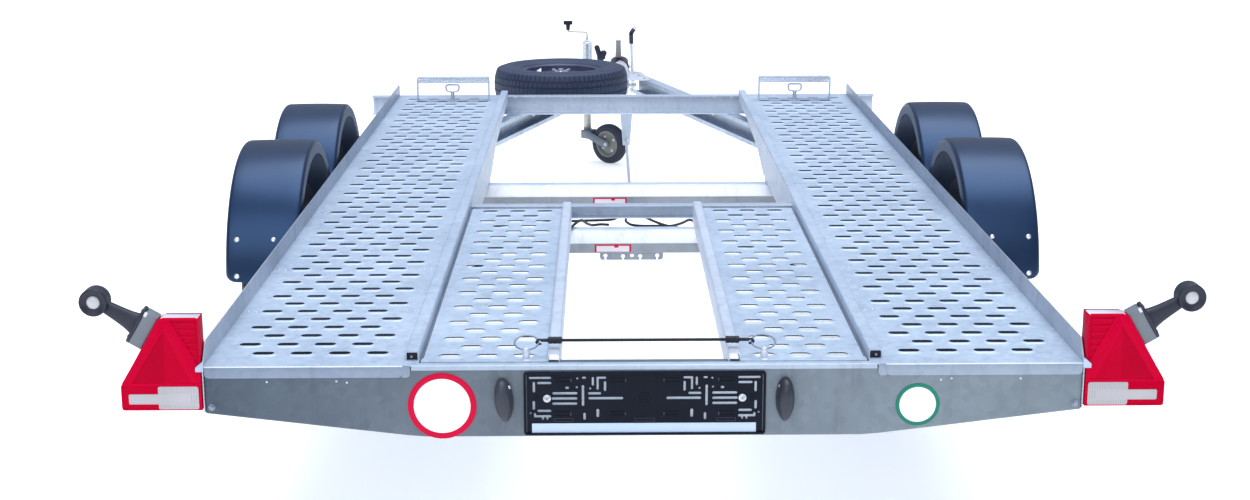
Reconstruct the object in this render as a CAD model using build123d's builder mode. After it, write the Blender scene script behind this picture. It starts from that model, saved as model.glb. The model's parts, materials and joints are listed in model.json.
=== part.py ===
from build123d import *
import math
import os

# Flat-deck tandem-axle car trailer, in millimetres.
# +X is the right-hand side looking forwards, +Y points to the coupling, +Z is up, Z = 0 is the ground.
# Sizes named "deck" are measured from the top of the track floors.

os.makedirs("parts", exist_ok=True)

# ---------------------------------------------------------------- driving dimensions
deck_z = 520.0            # top of the track floors above the ground
y0 = -2917.0              # rear edge of the deck
deck_len = 4000.0         # length of the deck
half_w = 972.0            # outer face of the side rails
rail_in = 500.0           # inner face of the inner rails
rail_out = 530.0          # outer face of the inner rails
lip_h = 48.0              # side rail standing above the floor
sheet_t = 2.5             # floor sheet
row_first = 91.5          # first row of floor slots from the deck's rear edge
row_pitch = 71.2          # pitch of the slot rows
slot_l, slot_w = 45.0, 22.0

axle_z = deck_z - 160.0   # centre of the hexagonal axle tubes
axle_af = 78.0            # across the flats of the axle tubes
rear_tube_y = y0 + 1900.0
axle_gap = 738.0          # distance between the two axles
wheel_r = 300.0           # tyre radius
wheel_y = y0 + 1755.0     # centre of the rear wheels
wheel_x = 1103.0          # centre plane of the wheels
tyre_w = 165.0
guard_r = 386.0           # outer radius of the mudguards
guard_z = deck_z - 193.0
guard_x1, guard_x2 = 987.0, 1205.0

rod_z1, rod_z2 = deck_z - 180.0, deck_z - 217.0   # brake rod's height at its front and rear ends
rod_y1, rod_y2 = y0 + 5000.0, y0 + 2560.0
beam_top = deck_z - 80.0  # top of the V-shaped drawbar
beam_h = 90.0
beam_slope = 0.31         # sideways run of the drawbar for each unit forwards
tow_z = deck_z - 112.0    # height of the coupling's axis
ball_y = y0 + 5815.0      # centre of the towing ball

jockey_x, jockey_y = -167.0, y0 + 5240.0
jockey_r = 100.0
jockey_trail = 140.0
jockey_turn = math.radians(-38.0)   # direction in which the jockey wheel trails, from +X

spare_x, spare_y = -278.0, y0 + 4352.0
spare_z = deck_z + 2.0


def Y(v):
    return y0 + v


def Z(v):
    return deck_z + v


def rod_z(y):
    return rod_z2 + (rod_z1 - rod_z2) * (y - rod_y2) / (rod_y1 - rod_y2)


def save(part, label):
    part.label = label
    export_step(part, "parts/" + label + ".step")


# ---------------------------------------------------------------- side rails
# Folded plate outside each track: a web standing 48 mm above the floor and a flange turned in below.
with BuildPart() as side_rail_right:
    with BuildSketch(Plane.YZ.offset(half_w - 3.0)):
        with BuildLine():
            Polyline((Y(0), Z(-106)), (Y(0), Z(0)), (Y(40), Z(lip_h)), (Y(3985), Z(lip_h)), (Y(4000), Z(34)),
                     (Y(4000), Z(2)), (Y(3956), Z(2)), (Y(3956), Z(-82)), (Y(3900), Z(-106)), close=True)
        make_face()
    extrude(amount=3.0)
    with BuildSketch(Plane.XY.offset(Z(-106))):
        with Locations((half_w - 38.0, Y(1981))):
            Rectangle(72.0, 3830.0)
    extrude(amount=3.0)
save(side_rail_right.part, "side_rail_right")
side_rail_left = mirror(side_rail_right.part, about=Plane.YZ)
save(side_rail_left, "side_rail_left")

# ---------------------------------------------------------------- inner rails
# Inverted channels along the inner edges of the tracks; the inner web is deeper over the axles.
with BuildPart() as inner_rail_right:
    with BuildSketch(Plane.YZ.offset(rail_in)):
        with BuildLine():
            Polyline((Y(0), Z(-2.6)), (Y(0), Z(20)), (Y(3994), Z(20)), (Y(3994), Z(0.5)), (Y(3956), Z(0.5)),
                     (Y(3956), Z(-25)), (Y(3500), Z(-30)), (Y(3000), Z(-58)), (Y(2740), Z(-106)),
                     (Y(1740), Z(-106)), (Y(1590), Z(-42)), (Y(64), Z(-42)), (Y(64), Z(-2.6)), close=True)
        make_face()
    extrude(amount=3.0)
    with BuildSketch(Plane.YZ.offset(rail_out - 3.0)):
        with BuildLine():
            Polyline((Y(0), Z(-2.6)), (Y(0), Z(20)), (Y(3994), Z(20)), (Y(3994), Z(0.5)), (Y(3956), Z(0.5)),
                     (Y(3956), Z(-40)), (Y(64), Z(-40)), (Y(64), Z(-2.6)), close=True)
        make_face()
    extrude(amount=3.0)
    with BuildSketch(Plane.XY.offset(Z(17))):
        with Locations(((rail_in + rail_out) / 2.0, Y(1997))):
            Rectangle(rail_out - rail_in, 3994.0)
    extrude(amount=3.0)
save(inner_rail_right.part, "inner_rail_right")
inner_rail_left = mirror(inner_rail_right.part, about=Plane.YZ)
save(inner_rail_left, "inner_rail_left")

# ---------------------------------------------------------------- track floors
# Sheet with staggered rows of four slots; its rear edge is folded down over the rear beam.
slots = []
for row in range(54):
    y = Y(row_first + row * row_pitch)
    xs = (597.0, 682.0, 767.5, 853.0) if row % 2 == 0 else (639.5, 725.0, 810.0, 895.5)
    slots += [(x, y) for x in xs]
with BuildPart() as track_floor_right:
    with BuildSketch(Plane.XY.offset(Z(-sheet_t))):
        with Locations(((rail_out + half_w - 3.0) / 2.0, Y(1976.5))):
            Rectangle(half_w - 3.0 - rail_out, 3959.0)
        with Locations(*slots):
            SlotOverall(slot_l, slot_w, mode=Mode.SUBTRACT)
    extrude(amount=sheet_t)
    with BuildSketch(Plane.XZ.offset(-Y(-0.5))):
        with Locations((750.0, Z(-14.75))):
            RectangleRounded(434.0, 24.5, 7.0)
        with Locations((750.0, Z(-8.0))):
            Rectangle(434.0, 12.0)
    extrude(amount=2.5)
save(track_floor_right.part, "track_floor_right")
track_floor_left = mirror(track_floor_right.part, about=Plane.YZ)
save(track_floor_left, "track_floor_left")

# ---------------------------------------------------------------- floor joists
# Small channels across each track under the floor sheet.
joist_y = [450.0, 875.0, 1230.0, 1585.0, 1940.0, 2295.0, 2650.0, 3005.0, 3360.0, 3715.0]
with BuildPart() as floor_joists:
    for side in (-1.0, 1.0):
        with BuildSketch(Plane.YZ.offset(rail_out if side > 0 else -(half_w - 3.0))):
            with Locations(*[(Y(v), Z(-18.5)) for v in joist_y]):
                Rectangle(40.0, 32.0)
            with Locations(*[(Y(v), Z(-20.5)) for v in joist_y]):
                Rectangle(35.0, 30.0, mode=Mode.SUBTRACT)
        extrude(amount=half_w - 3.0 - rail_out)
save(floor_joists.part, "floor_joists")

# ---------------------------------------------------------------- rear beam
# Pressed tray across the back, deeper in the middle, open towards the front, with a flat sill on its
# centre part and a small ear on each top corner.
with BuildPart() as rear_beam:
    with BuildSketch(Plane.XZ.offset(-Y(0))):
        with BuildLine():
            Polyline((-969, Z(-6)), (969, Z(-6)), (969, Z(-109)), (520, Z(-163)), (480, Z(-166)),
                     (-480, Z(-166)), (-520, Z(-163)), (-969, Z(-109)), close=True)
        make_face()
    extrude(amount=-60.0)
    with BuildSketch(Plane.XZ.offset(-Y(3))):
        with BuildLine():
            Polyline((-966, Z(-9)), (966, Z(-9)), (966, Z(-106.4)), (520, Z(-160)), (480, Z(-163)),
                     (-480, Z(-163)), (-520, Z(-160)), (-966, Z(-106.4)), close=True)
        make_face()
    extrude(amount=-60.0, mode=Mode.SUBTRACT)
    with BuildSketch(Plane.XY.offset(Z(-11))):
        with Locations((0, Y(10))):
            Rectangle(996.0, 22.0)
    extrude(amount=11.0)
    with BuildSketch(Plane.XZ.offset(-Y(-3))):
        for s in (-1.0, 1.0):
            with BuildLine():
                Polyline((s * 967.6, Z(-19)), (s * 986, Z(-19)), (s * 986, Z(-4)), (s * 969.4, Z(12)), (s * 969.4, Z(-3)),
                         (s * 967.6, Z(-3)), close=True)
            make_face()
    extrude(amount=-3.0)
    with BuildSketch(Plane.XY.offset(Z(-10))):
        with Locations((-262, Y(46)), (267, Y(46))):
            Circle(8.6)
    extrude(amount=10.0, mode=Mode.SUBTRACT)
save(rear_beam.part, "rear_beam")

# ---------------------------------------------------------------- front beam with the brake rod's hanger
with BuildPart() as front_beam:
    with BuildSketch(Plane.YZ.offset(-1087.0)):
        with BuildLine():
            Polyline((Y(3958), Z(0)), (Y(4010), Z(0)), (Y(4010), Z(-80)), (Y(3958), Z(-80)), (Y(3958), Z(-76)),
                     (Y(4006), Z(-76)), (Y(4006), Z(-4)), (Y(3958), Z(-4)), close=True)
        make_face()
    extrude(amount=2174.0)
    with BuildSketch(Plane.XZ.offset(-Y(3966))):
        with BuildLine():
            Polyline((-14, Z(-80)), (38, Z(-80)), (27, Z(-218)), (-3, Z(-218)), close=True)
        make_face()
        with Locations((12, rod_z(Y(3968.5)))):
            Circle(8.0, mode=Mode.SUBTRACT)
    extrude(amount=-5.0)
save(front_beam.part, "front_beam")

# ---------------------------------------------------------------- middle cross member
with BuildPart() as middle_beam:
    with BuildSketch(Plane.YZ.offset(-rail_in)):
        with BuildLine():
            Polyline((Y(1680), Z(0)), (Y(1722), Z(0)), (Y(1722), Z(-41)), (Y(1680), Z(-41)), (Y(1680), Z(-38)),
                     (Y(1719), Z(-38)), (Y(1719), Z(-3)), (Y(1680), Z(-3)), close=True)
        make_face()
    extrude(amount=2 * rail_in)
save(middle_beam.part, "middle_beam")

# ---------------------------------------------------------------- V-shaped drawbar
# Lipped channels, open towards the centre line, under the front beam.
bn = math.hypot(beam_slope, 1.0)
beam_y1, beam_y2 = Y(2720), Y(5250)


def beam_in(y):
    return 570.0 - beam_slope * (y - Y(3564))


beam_plane = Plane(origin=(beam_in(beam_y1), beam_y1, beam_top - beam_h / 2.0),
                   x_dir=(1.0 / bn, beam_slope / bn, 0), z_dir=(-beam_slope / bn, 1.0 / bn, 0))
with BuildPart() as drawbar_right:
    with BuildSketch(beam_plane):
        with Locations((26.0, 0)):
            Rectangle(52.0, beam_h)
        with Locations((22.0, 0)):
            Rectangle(52.0, beam_h - 8.0, mode=Mode.SUBTRACT)
        with Locations((2.0, beam_h / 2.0 - 9.0), (2.0, -beam_h / 2.0 + 9.0)):
            Rectangle(4.0, 18.0)
    extrude(amount=(beam_y2 - beam_y1) * bn)
save(drawbar_right.part, "drawbar_right")
drawbar_left = mirror(drawbar_right.part, about=Plane.YZ)
save(drawbar_left, "drawbar_left")

# brackets that carry the drawbar's rear ends from the floor joists
with BuildPart() as drawbar_brackets:
    for v in (3005.0, 3360.0):
        xm = beam_in(Y(v)) + 27.0
        with BuildSketch(Plane.XY.offset(Z(-79.8))):
            with Locations((xm, Y(v)), (-xm, Y(v))):
                Rectangle(50.0, 36.0)
            with Locations((xm, Y(v)), (-xm, Y(v))):
                Rectangle(42.0, 28.0, mode=Mode.SUBTRACT)
        extrude(amount=45.0)
save(drawbar_brackets.part, "drawbar_brackets")

# ---------------------------------------------------------------- overrun device
with BuildPart() as overrun_housing:
    with BuildSketch(Plane.XY.offset(beam_top + 0.2)):
        with BuildLine():
            Polyline((-150, Y(4990)), (150, Y(4990)), (104, Y(5262)), (84, Y(5290)), (-84, Y(5290)),
                     (-104, Y(5262)), close=True)
        make_face()
    extrude(amount=6.0)
    with BuildSketch(Plane.XZ.offset(-Y(5060))):
        with Locations((0, Z(-69))):
            Circle(38.0)
        with Locations((0, Z(-113))):
            Rectangle(76.0, 88.0)
    extrude(amount=-300.0)
    with BuildSketch(Plane.XZ.offset(-Y(5360))):
        with Locations((0, tow_z)):
            RectangleRounded(92.0, 92.0, 12.0)
    extrude(amount=-8.0)
    # lever that pushes the brake rod
    with BuildSketch(Plane.YZ.offset(6.0)):
        with BuildLine():
            Polyline((Y(5001), Z(-168)), (Y(5001), Z(-194)), (Y(5022), Z(-194)), (Y(5072), Z(-150)), (Y(5072), Z(-120)),
                     (Y(5056), Z(-120)), close=True)
        make_face()
    extrude(amount=12.0)
    with BuildSketch(Plane.XZ.offset(-Y(5340))):
        with Locations((0, tow_z)):
            Circle(41.0)
    extrude(amount=-40.0)
    with BuildSketch(Plane.XZ.offset(-Y(5370))):
        with Locations((0, tow_z)):
            Circle(25.0)
    extrude(amount=-180.0)
    with BuildSketch(Plane.YZ.offset(36.0)):
        with Locations((Y(5335), Z(-150))):
            Circle(18.0)
    extrude(amount=11.0)
    with BuildSketch(Plane.YZ.offset(40.0)):
        with Locations((Y(5335), Z(-150))):
            Circle(8.0)
    extrude(amount=42.0)
save(overrun_housing.part, "overrun_housing")

# bellows over the sliding shaft
with BuildPart() as overrun_gaiter:
    with BuildSketch(Plane.YZ):
        pts = [(Y(5380.5), 27.0), (Y(5380.5), 44.0)]
        n = 7
        for i in range(n):
            a = 5384.0 + i * 22.0
            pts += [(Y(a), 45.0 - i * 1.0), (Y(a + 11.0), 36.0 - i * 1.0)]
        pts += [(Y(5536), 38.0), (Y(5544), 38.0), (Y(5544), 27.0)]
        with BuildLine():
            Polyline(*[(p[0], tow_z + p[1]) for p in pts], close=True)
        make_face()
    revolve(axis=Axis((0, 0, tow_z), (0, 1, 0)))
save(overrun_gaiter.part, "overrun_gaiter")

# ---------------------------------------------------------------- coupling head for a 50 mm ball
with BuildPart() as coupling_head:
    with BuildSketch(Plane.YZ.offset(-47.0)):
        with BuildLine():
            l1 = Polyline((Y(5640), tow_z - 30), (Y(5640), tow_z + 34), (Y(5700), tow_z + 40),
                          (Y(5780), tow_z + 47))
            l2 = Spline((Y(5780), tow_z + 47), (Y(5840), tow_z + 40), (Y(5868), tow_z + 12), (Y(5872), tow_z - 24),
                        tangents=[(1, 0.1), (0, -1)])
            l3 = Polyline((Y(5872), tow_z - 24), (Y(5740), tow_z - 24), (Y(5700), tow_z - 30), (Y(5640), tow_z - 30))
        make_face()
    extrude(amount=94.0)
    with BuildSketch(Plane.XZ.offset(-Y(5630))):
        with Locations((0, tow_z - 6)):
            Circle(54.0)
            with Locations((0, -40)):
                Rectangle(94.0, 70.0)
            Rectangle(94.0, 110.0, mode=Mode.INTERSECT)
    extrude(amount=-260.0, mode=Mode.INTERSECT)
    with BuildSketch(Plane.XZ.offset(-Y(5546))):
        with Locations((0, tow_z)):
            Circle(31.0)
    extrude(amount=-110.0)
    with BuildSketch(Plane.XZ.offset(-Y(5540))):
        with Locations((0, tow_z)):
            Circle(25.2)
    extrude(amount=-60.0, mode=Mode.SUBTRACT)
    with BuildSketch(Plane.XY.offset(tow_z - 30.0)):
        with Locations((0, ball_y)):
            Circle(25.3)
    extrude(amount=30.0, mode=Mode.SUBTRACT)
    with Locations((0, ball_y, tow_z)):
        Sphere(25.3, mode=Mode.SUBTRACT)
save(coupling_head.part, "coupling_head")

with BuildPart() as coupling_handle:
    with BuildSketch(Plane.YZ.offset(-23.0)):
        with BuildLine():
            Polyline((Y(5740), Z(-62)), (Y(5770), Z(-61)), (Y(5762), Z(-20)), (Y(5735), Z(36)), (Y(5722), Z(33)),
                     (Y(5742), Z(-22)), close=True)
        make_face()
    extrude(amount=34.0)
    fillet(coupling_handle.edges().filter_by(Axis.X), 3.0)
save(coupling_handle.part, "coupling_handle")

# ---------------------------------------------------------------- handbrake lever
lev_y, lev_z = Y(5335), Z(-150)
lever_dir = (-9.5, 0, 244.0)
with BuildPart() as lever_bar:
    with BuildLine():
        FilletPolyline((64.0, lev_y, lev_z + 18.0), (54.5, lev_y, Z(112)), (78.0, lev_y, Z(146)), radius=18.0)
    with BuildSketch(Plane(origin=(64.0, lev_y, lev_z + 18.0), z_dir=lever_dir)):
        Circle(7.5)
    sweep()
with BuildPart() as lever_grip:
    with BuildLine():
        FilletPolyline((56.4, lev_y, Z(62)), (54.5, lev_y, Z(112)), (70.0, lev_y, Z(134.4)), radius=18.0)
    with BuildSketch(Plane(origin=(56.4, lev_y, Z(62)), z_dir=lever_dir)):
        Circle(11.5)
    sweep()
with BuildPart() as handbrake_lever:
    with BuildSketch(Plane.YZ.offset(55.0)):
        with Locations((lev_y, lev_z)):
            Circle(22.0)
            Circle(8.1, mode=Mode.SUBTRACT)
    extrude(amount=17.0)
    add(lever_bar.part)
    add(lever_grip.part)
save(handbrake_lever.part, "handbrake_lever")

# ---------------------------------------------------------------- axles, arms and hubs
for name, yt in (("rear_axle", rear_tube_y), ("front_axle", rear_tube_y + axle_gap)):
    with BuildPart() as axle:
        with BuildSketch(Plane.YZ.offset(-926.0)):
            with Locations((yt, axle_z)):
                RegularPolygon(axle_af / 2.0, 6, major_radius=False, rotation=0.0)
                Circle(31.0, mode=Mode.SUBTRACT)
        extrude(amount=1852.0)
        # pads between the tube and the rails
        with BuildSketch(Plane.XY.offset(axle_z + axle_af / 2.0 - 0.5)):
            with Locations((-907, yt), (907, yt), (-519, yt), (519, yt)):
                Rectangle(38.0, 60.0)
        extrude(amount=Z(-106) - (axle_z + axle_af / 2.0 - 0.5))
        if name == "rear_axle":
            # slotted plate under the rear tube that carries the brake cables
            with BuildSketch(Plane.XZ.offset(-(yt - 3.0))):
                with Locations((1.5, axle_z - axle_af / 2.0 - 13.0)):
                    Rectangle(205.0, 28.0)
                with Locations((-83, axle_z - axle_af / 2.0 - 13.0), (-26, axle_z - axle_af / 2.0 - 15.0),
                               (30, axle_z - axle_af / 2.0 - 15.0), (85, axle_z - axle_af / 2.0 - 13.0)):
                    Circle(6.5, mode=Mode.SUBTRACT)
                with Locations((-83, axle_z - axle_af / 2.0 - 22.0), (-26, axle_z - axle_af / 2.0 - 22.0),
                               (30, axle_z - axle_af / 2.0 - 22.0), (85, axle_z - axle_af / 2.0 - 22.0)):
                    Rectangle(5.0, 18.0, mode=Mode.SUBTRACT)
                with Locations((3, axle_z - axle_af / 2.0 - 13.0)):
                    Circle(6.0, mode=Mode.SUBTRACT)
            extrude(amount=-5.0)
    save(axle.part, name)

with BuildPart() as torsion_arms:
    for side in (-1.0, 1.0):
        for dy in (0.0, axle_gap):
            yt, yw = rear_tube_y + dy, wheel_y + dy
            zw = wheel_r
            with BuildSketch(Plane.YZ.offset(side * 930.0)):
                with BuildLine():
                    ang = math.atan2(zw - axle_z, yw - yt)
                    nx, nz = -math.sin(ang), math.cos(ang)
                    Polyline((yt + 34 * nx, axle_z + 34 * nz), (yw + 26 * nx, zw + 26 * nz),
                             (yw - 26 * nx, zw - 26 * nz), (yt - 34 * nx, axle_z - 34 * nz), close=True)
                make_face()
                with Locations((yt, axle_z)):
                    Circle(34.0)
                with Locations((yw, zw)):
                    Circle(26.0)
            extrude(amount=side * 22.0)
            with BuildSketch(Plane.YZ.offset(side * 860.0)):
                with Locations((yt, axle_z)):
                    Circle(31.0)
            extrude(amount=side * 75.0)
            with BuildSketch(Plane.YZ.offset(side * 950.0)):
                with Locations((yw, zw)):
                    Circle(15.0)
            extrude(amount=side * (wheel_x - 962.0))
            # fixed backing plate of the drum brake
            with BuildSketch(Plane.YZ.offset(side * (wheel_x - 105.0))):
                with Locations((yw, zw)):
                    Circle(110.0)
            extrude(amount=side * 3.0)
save(torsion_arms.part, "torsion_arms")

# ---------------------------------------------------------------- road wheels
# outline of a tyre's section, from the inner bead round to the outer bead (offset across, radius)
hw = tyre_w / 2.0
for side, sname in ((-1.0, "left"), (1.0, "right")):
    for dy, aname in ((0.0, "rear"), (axle_gap, "front")):
        yc, zc, xc = wheel_y + dy, wheel_r, side * wheel_x
        with BuildPart() as tyre:
            with BuildSketch(Plane(origin=(xc, yc, zc), x_dir=(side, 0, 0), z_dir=(0, -side, 0))):
                with BuildLine():
                    Polyline((64.2, 176.6), (60.2, 176.6), (56.2, 166.2), (-56.2, 166.2), (-60.2, 176.6), (-64.2, 176.6))
                    Spline((-64.2, 176.6), (-hw, 230), (-66, 288))
                    Spline((-66, 288), (0, wheel_r), (66, 288))
                    Spline((66, 288), (hw, 230), (64.2, 176.6))
                make_face()
            revolve(axis=Axis((xc, yc, zc), (1, 0, 0)))
        save(tyre.part, "tyre_%s_%s" % (aname, sname))
        with BuildPart() as rim:
            with BuildSketch(Plane(origin=(xc, yc, zc), x_dir=(side, 0, 0), z_dir=(0, -side, 0))):
                with BuildLine():
                    # well of the rim and the dished disc that carries it, offset to the outside
                    Polyline((-64, 176), (-61, 176), (-57, 165.7), (-30, 164), (-18, 150), (20, 150), (32, 164),
                             (57, 165.7), (61, 176), (64, 176), (64, 170), (58, 160), (36, 158), (30, 146), (16, 130),
                             (28, 96), (34, 70), (34, 28), (26, 28), (26, 66), (18, 96), (2, 132), (-6, 146),
                             (-24, 146), (-34, 159), (-58, 160), (-64, 168), close=True)
                make_face()
            revolve(axis=Axis((xc, yc, zc), (1, 0, 0)))
            # vents round the disc
            with BuildSketch(Plane.YZ.offset(xc - side * 4.0)):
                with Locations((yc, zc)):
                    with PolarLocations(113.0, 12):
                        SlotOverall(26.0, 15.0, rotation=90, mode=Mode.ADD)
            extrude(amount=side * 42.0, mode=Mode.SUBTRACT)
        save(rim.part, "rim_%s_%s" % (aname, sname))
        # brake drum and hub on the stub axle
        with BuildPart() as hub:
            with BuildSketch(Plane(origin=(xc, yc, zc), x_dir=(side, 0, 0), z_dir=(0, -side, 0))):
                with BuildLine():
                    Polyline((-100, 15.05), (-100, 112), (-40, 112), (-34, 100), (-20, 96), (0, 60), (25.7, 60), (25.7, 27.5),
                             (46, 27.5), (50, 23), (50, 0), (8, 0), (8, 15.05), close=True)
                make_face()
            revolve(axis=Axis((xc, yc, zc), (1, 0, 0)))
        save(hub.part, "hub_%s_%s" % (aname, sname))

# ---------------------------------------------------------------- mudguards
# Half-round covers with a flange turned in along both sides. The two on a side meet half-way between the wheels.
for side, sname in ((-1.0, "left"), (1.0, "right")):
    for dy, aname in ((0.0, "rear"), (axle_gap, "front")):
        yc = wheel_y + dy
        xa = guard_x1 if side > 0 else -guard_x2
        away = -1.0 if dy == 0.0 else 1.0        # the guard's outer end
        with BuildPart() as guard:
            with BuildSketch(Plane.YZ.offset(xa)):
                with Locations((yc, guard_z)):
                    Circle(guard_r)
                    Circle(guard_r - 5.0, mode=Mode.SUBTRACT)
            extrude(amount=guard_x2 - guard_x1)
            for x in (xa, xa + guard_x2 - guard_x1 - 4.0):
                w = 44.0 if abs(x) < 1100.0 else 26.0
                with BuildSketch(Plane.YZ.offset(x)):
                    with Locations((yc, guard_z)):
                        Circle(guard_r - 1.0)
                        Circle(guard_r - w, mode=Mode.SUBTRACT)
                extrude(amount=4.0)
            with BuildSketch(Plane.YZ.offset(xa - 1.0)):
                with Locations((yc, guard_z + 31.0 - 300.0)):
                    Rectangle(900.0, 600.0)
                with Locations((yc - away * (axle_gap / 2.0 - 2.0 + 100.0), guard_z)):
                    Rectangle(200.0, 1000.0)
            extrude(amount=guard_x2 - guard_x1 + 2.0, mode=Mode.SUBTRACT)
        save(guard.part, "mudguard_%s_%s" % (aname, sname))

# flat stays that hold the mudguards to the side rails
with BuildPart() as mudguard_brackets:
    for side in (-1.0, 1.0):
        for dy in (0.0, axle_gap):
            for off in (-290.0, 290.0):
                with BuildSketch(Plane.XY.offset(Z(-95))):
                    with Locations((side * (half_w + (guard_x1 - half_w) / 2.0), wheel_y + dy + off)):
                        Rectangle(guard_x1 - half_w, 40.0)
                extrude(amount=124.0)
save(mudguard_brackets.part, "mudguard_brackets")

# ---------------------------------------------------------------- jockey wheel
with BuildPart() as jockey_tube:
    with BuildSketch(Plane.XY.offset(Z(-282))):
        with Locations((jockey_x, jockey_y)):
            Circle(27.0)
            Circle(21.0, mode=Mode.SUBTRACT)
    extrude(amount=16.0)
    with BuildSketch(Plane.XY.offset(Z(-282))):
        with Locations((jockey_x, jockey_y)):
            Circle(24.0)
            Circle(21.0, mode=Mode.SUBTRACT)
    extrude(amount=360.0)
    with BuildSketch(Plane.XY.offset(Z(76))):
        with Locations((jockey_x, jockey_y)):
            Circle(24.0)
    extrude(amount=6.0)
    # clamp block between the tube and the drawbar's outer web
    with BuildSketch(Plane.XY.offset(Z(-168))):
        with BuildLine():
            Polyline((-beam_in(jockey_y - 45) - 54.6, jockey_y - 45), (-beam_in(jockey_y + 10) - 54.6, jockey_y + 10),
                     (jockey_x + 6, jockey_y + 32), (jockey_x - 6, jockey_y + 32), (jockey_x - 34, jockey_y + 12),
                     (jockey_x - 34, jockey_y - 16), (jockey_x - 4, jockey_y - 34), close=True)
        make_face()
        with Locations((jockey_x, jockey_y)):
            Circle(23.5, mode=Mode.SUBTRACT)
    extrude(amount=82.0)
save(jockey_tube.part, "jockey_tube")

# toggle of the clamp, with its black two-lobed grip
with BuildPart() as jockey_clamp_handle:
    with BuildSketch(Plane.XY.offset(Z(-86))):
        with Locations((-114.5, jockey_y)):
            Circle(5.0)
    extrude(amount=80.0)
    with BuildSketch(Plane.XZ.offset(-(jockey_y - 9))):
        with Locations((-84, Z(24))):
            Circle(16.0)
        with BuildLine():
            Polyline((-112, Z(-10)), (-92, Z(-10)), (-104, Z(44)), (-112, Z(64)), (-126, Z(66)), (-132, Z(52)),
                     close=True)
        make_face()
        with BuildLine():
            Polyline((-104, Z(-12)), (-72, Z(-12)), (-72, Z(24)), (-98, Z(24)), close=True)
        make_face()
    extrude(amount=-18.0)
save(jockey_clamp_handle.part, "jockey_clamp_handle")

# spindle bent over into a crank, with its turned grip
with BuildPart() as crank_rod:
    with BuildLine():
        FilletPolyline((jockey_x, jockey_y, Z(84)), (jockey_x, jockey_y, Z(129)), (-261.5, jockey_y, Z(133)),
                       (-261.5, jockey_y, Z(166)), radius=12.0)
    with BuildSketch(Plane.XY.offset(Z(84))):
        with Locations((jockey_x, jockey_y)):
            Circle(5.0)
    sweep()
with BuildPart() as jockey_crank:
    add(crank_rod.part)
    with BuildSketch(Plane.XY.offset(Z(82.2))):
        with Locations((jockey_x, jockey_y)):
            Circle(14.0)
    extrude(amount=10.0)
    with BuildSketch(Plane.XY.offset(Z(142))):
        with Locations((-261.5, jockey_y)):
            Circle(9.0)
    extrude(amount=26.0)
    with BuildSketch(Plane.XY.offset(Z(167))):
        with Locations((-261.5, jockey_y)):
            SlotOverall(44.0, 22.0)
    extrude(amount=20.0)
save(jockey_crank.part, "jockey_crank")

with BuildPart() as jockey_leg:
    with BuildSketch(Plane.XY.offset(Z(-350))):
        with Locations((jockey_x, jockey_y)):
            Circle(19.0)
    extrude(amount=300.0)
    with BuildSketch(Plane.XY.offset(Z(-351))):
        with Locations((jockey_x, jockey_y)):
            Circle(9.05)
    extrude(amount=14.0, mode=Mode.SUBTRACT)
save(jockey_leg.part, "jockey_leg")

ct, st = math.cos(jockey_turn), math.sin(jockey_turn)
fork_plane = Plane(origin=(jockey_x, jockey_y, 0), x_dir=(ct, st, 0), z_dir=(st, -ct, 0))
with BuildPart() as jockey_fork:
    with BuildSketch(Plane.XY.offset(Z(-404))):
        with Locations((jockey_x, jockey_y)):
            Circle(20.0)
    extrude(amount=53.0)
    with BuildSketch(Plane.XY.offset(Z(-352))):
        with Locations((jockey_x, jockey_y)):
            Circle(9.0)
    extrude(amount=12.0)
    with BuildSketch(fork_plane.offset(-34.0)):
        with BuildLine():
            Polyline((-16, Z(-402)), (-16, Z(-362)), (28, Z(-362)), (28, Z(-402)), close=True)
        make_face()
    extrude(amount=68.0)
    for off in (-34.0, 30.0):
        with BuildSketch(fork_plane.offset(off)):
            with BuildLine():
                Polyline((-16, Z(-402)), (-16, Z(-362)), (26, Z(-362)), (jockey_trail + 4, Z(-402)),
                         (jockey_trail, Z(-440)), (30, Z(-404)), close=True)
            make_face()
            with Locations((jockey_trail, Z(-520) + jockey_r)):
                Circle(19.0)
        extrude(amount=4.0)
    with BuildSketch(fork_plane.offset(-38.0)):
        with Locations((jockey_trail, Z(-520) + jockey_r)):
            Circle(6.0)
    extrude(amount=76.0)
save(jockey_fork.part, "jockey_fork")

jw = (jockey_x + ct * jockey_trail, jockey_y + st * jockey_trail, jockey_r)
jaxle = (st, -ct, 0)
jplane = Plane(origin=jw, x_dir=jaxle, z_dir=(ct, st, 0))
with BuildPart() as jockey_rim:
    with BuildSketch(jplane):
        with BuildLine():
            Polyline((-27, 6.05), (27, 6.05), (27, 17), (14, 19), (8, 50), (24, 60), (25, 66), (20, 66), (0, 58),
                     (-20, 66), (-25, 66), (-24, 60), (-8, 50), (-14, 19), (-27, 17), close=True)
        make_face()
    revolve(axis=Axis(jw, jaxle))
save(jockey_rim.part, "jockey_rim")
with BuildPart() as jockey_tyre:
    with BuildSketch(jplane):
        with BuildLine():
            Polyline((-19.5, 66.3), (-24.9, 66.3), (-25.5, 78), (-22, 92), (-12, 99), (0, jockey_r), (12, 99), (22, 92), (25.5, 78),
                     (24.9, 66.3), (19.5, 66.3), (0, 58.3), close=True)
        make_face()
    revolve(axis=Axis(jw, jaxle))
save(jockey_tyre.part, "jockey_tyre")

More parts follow.
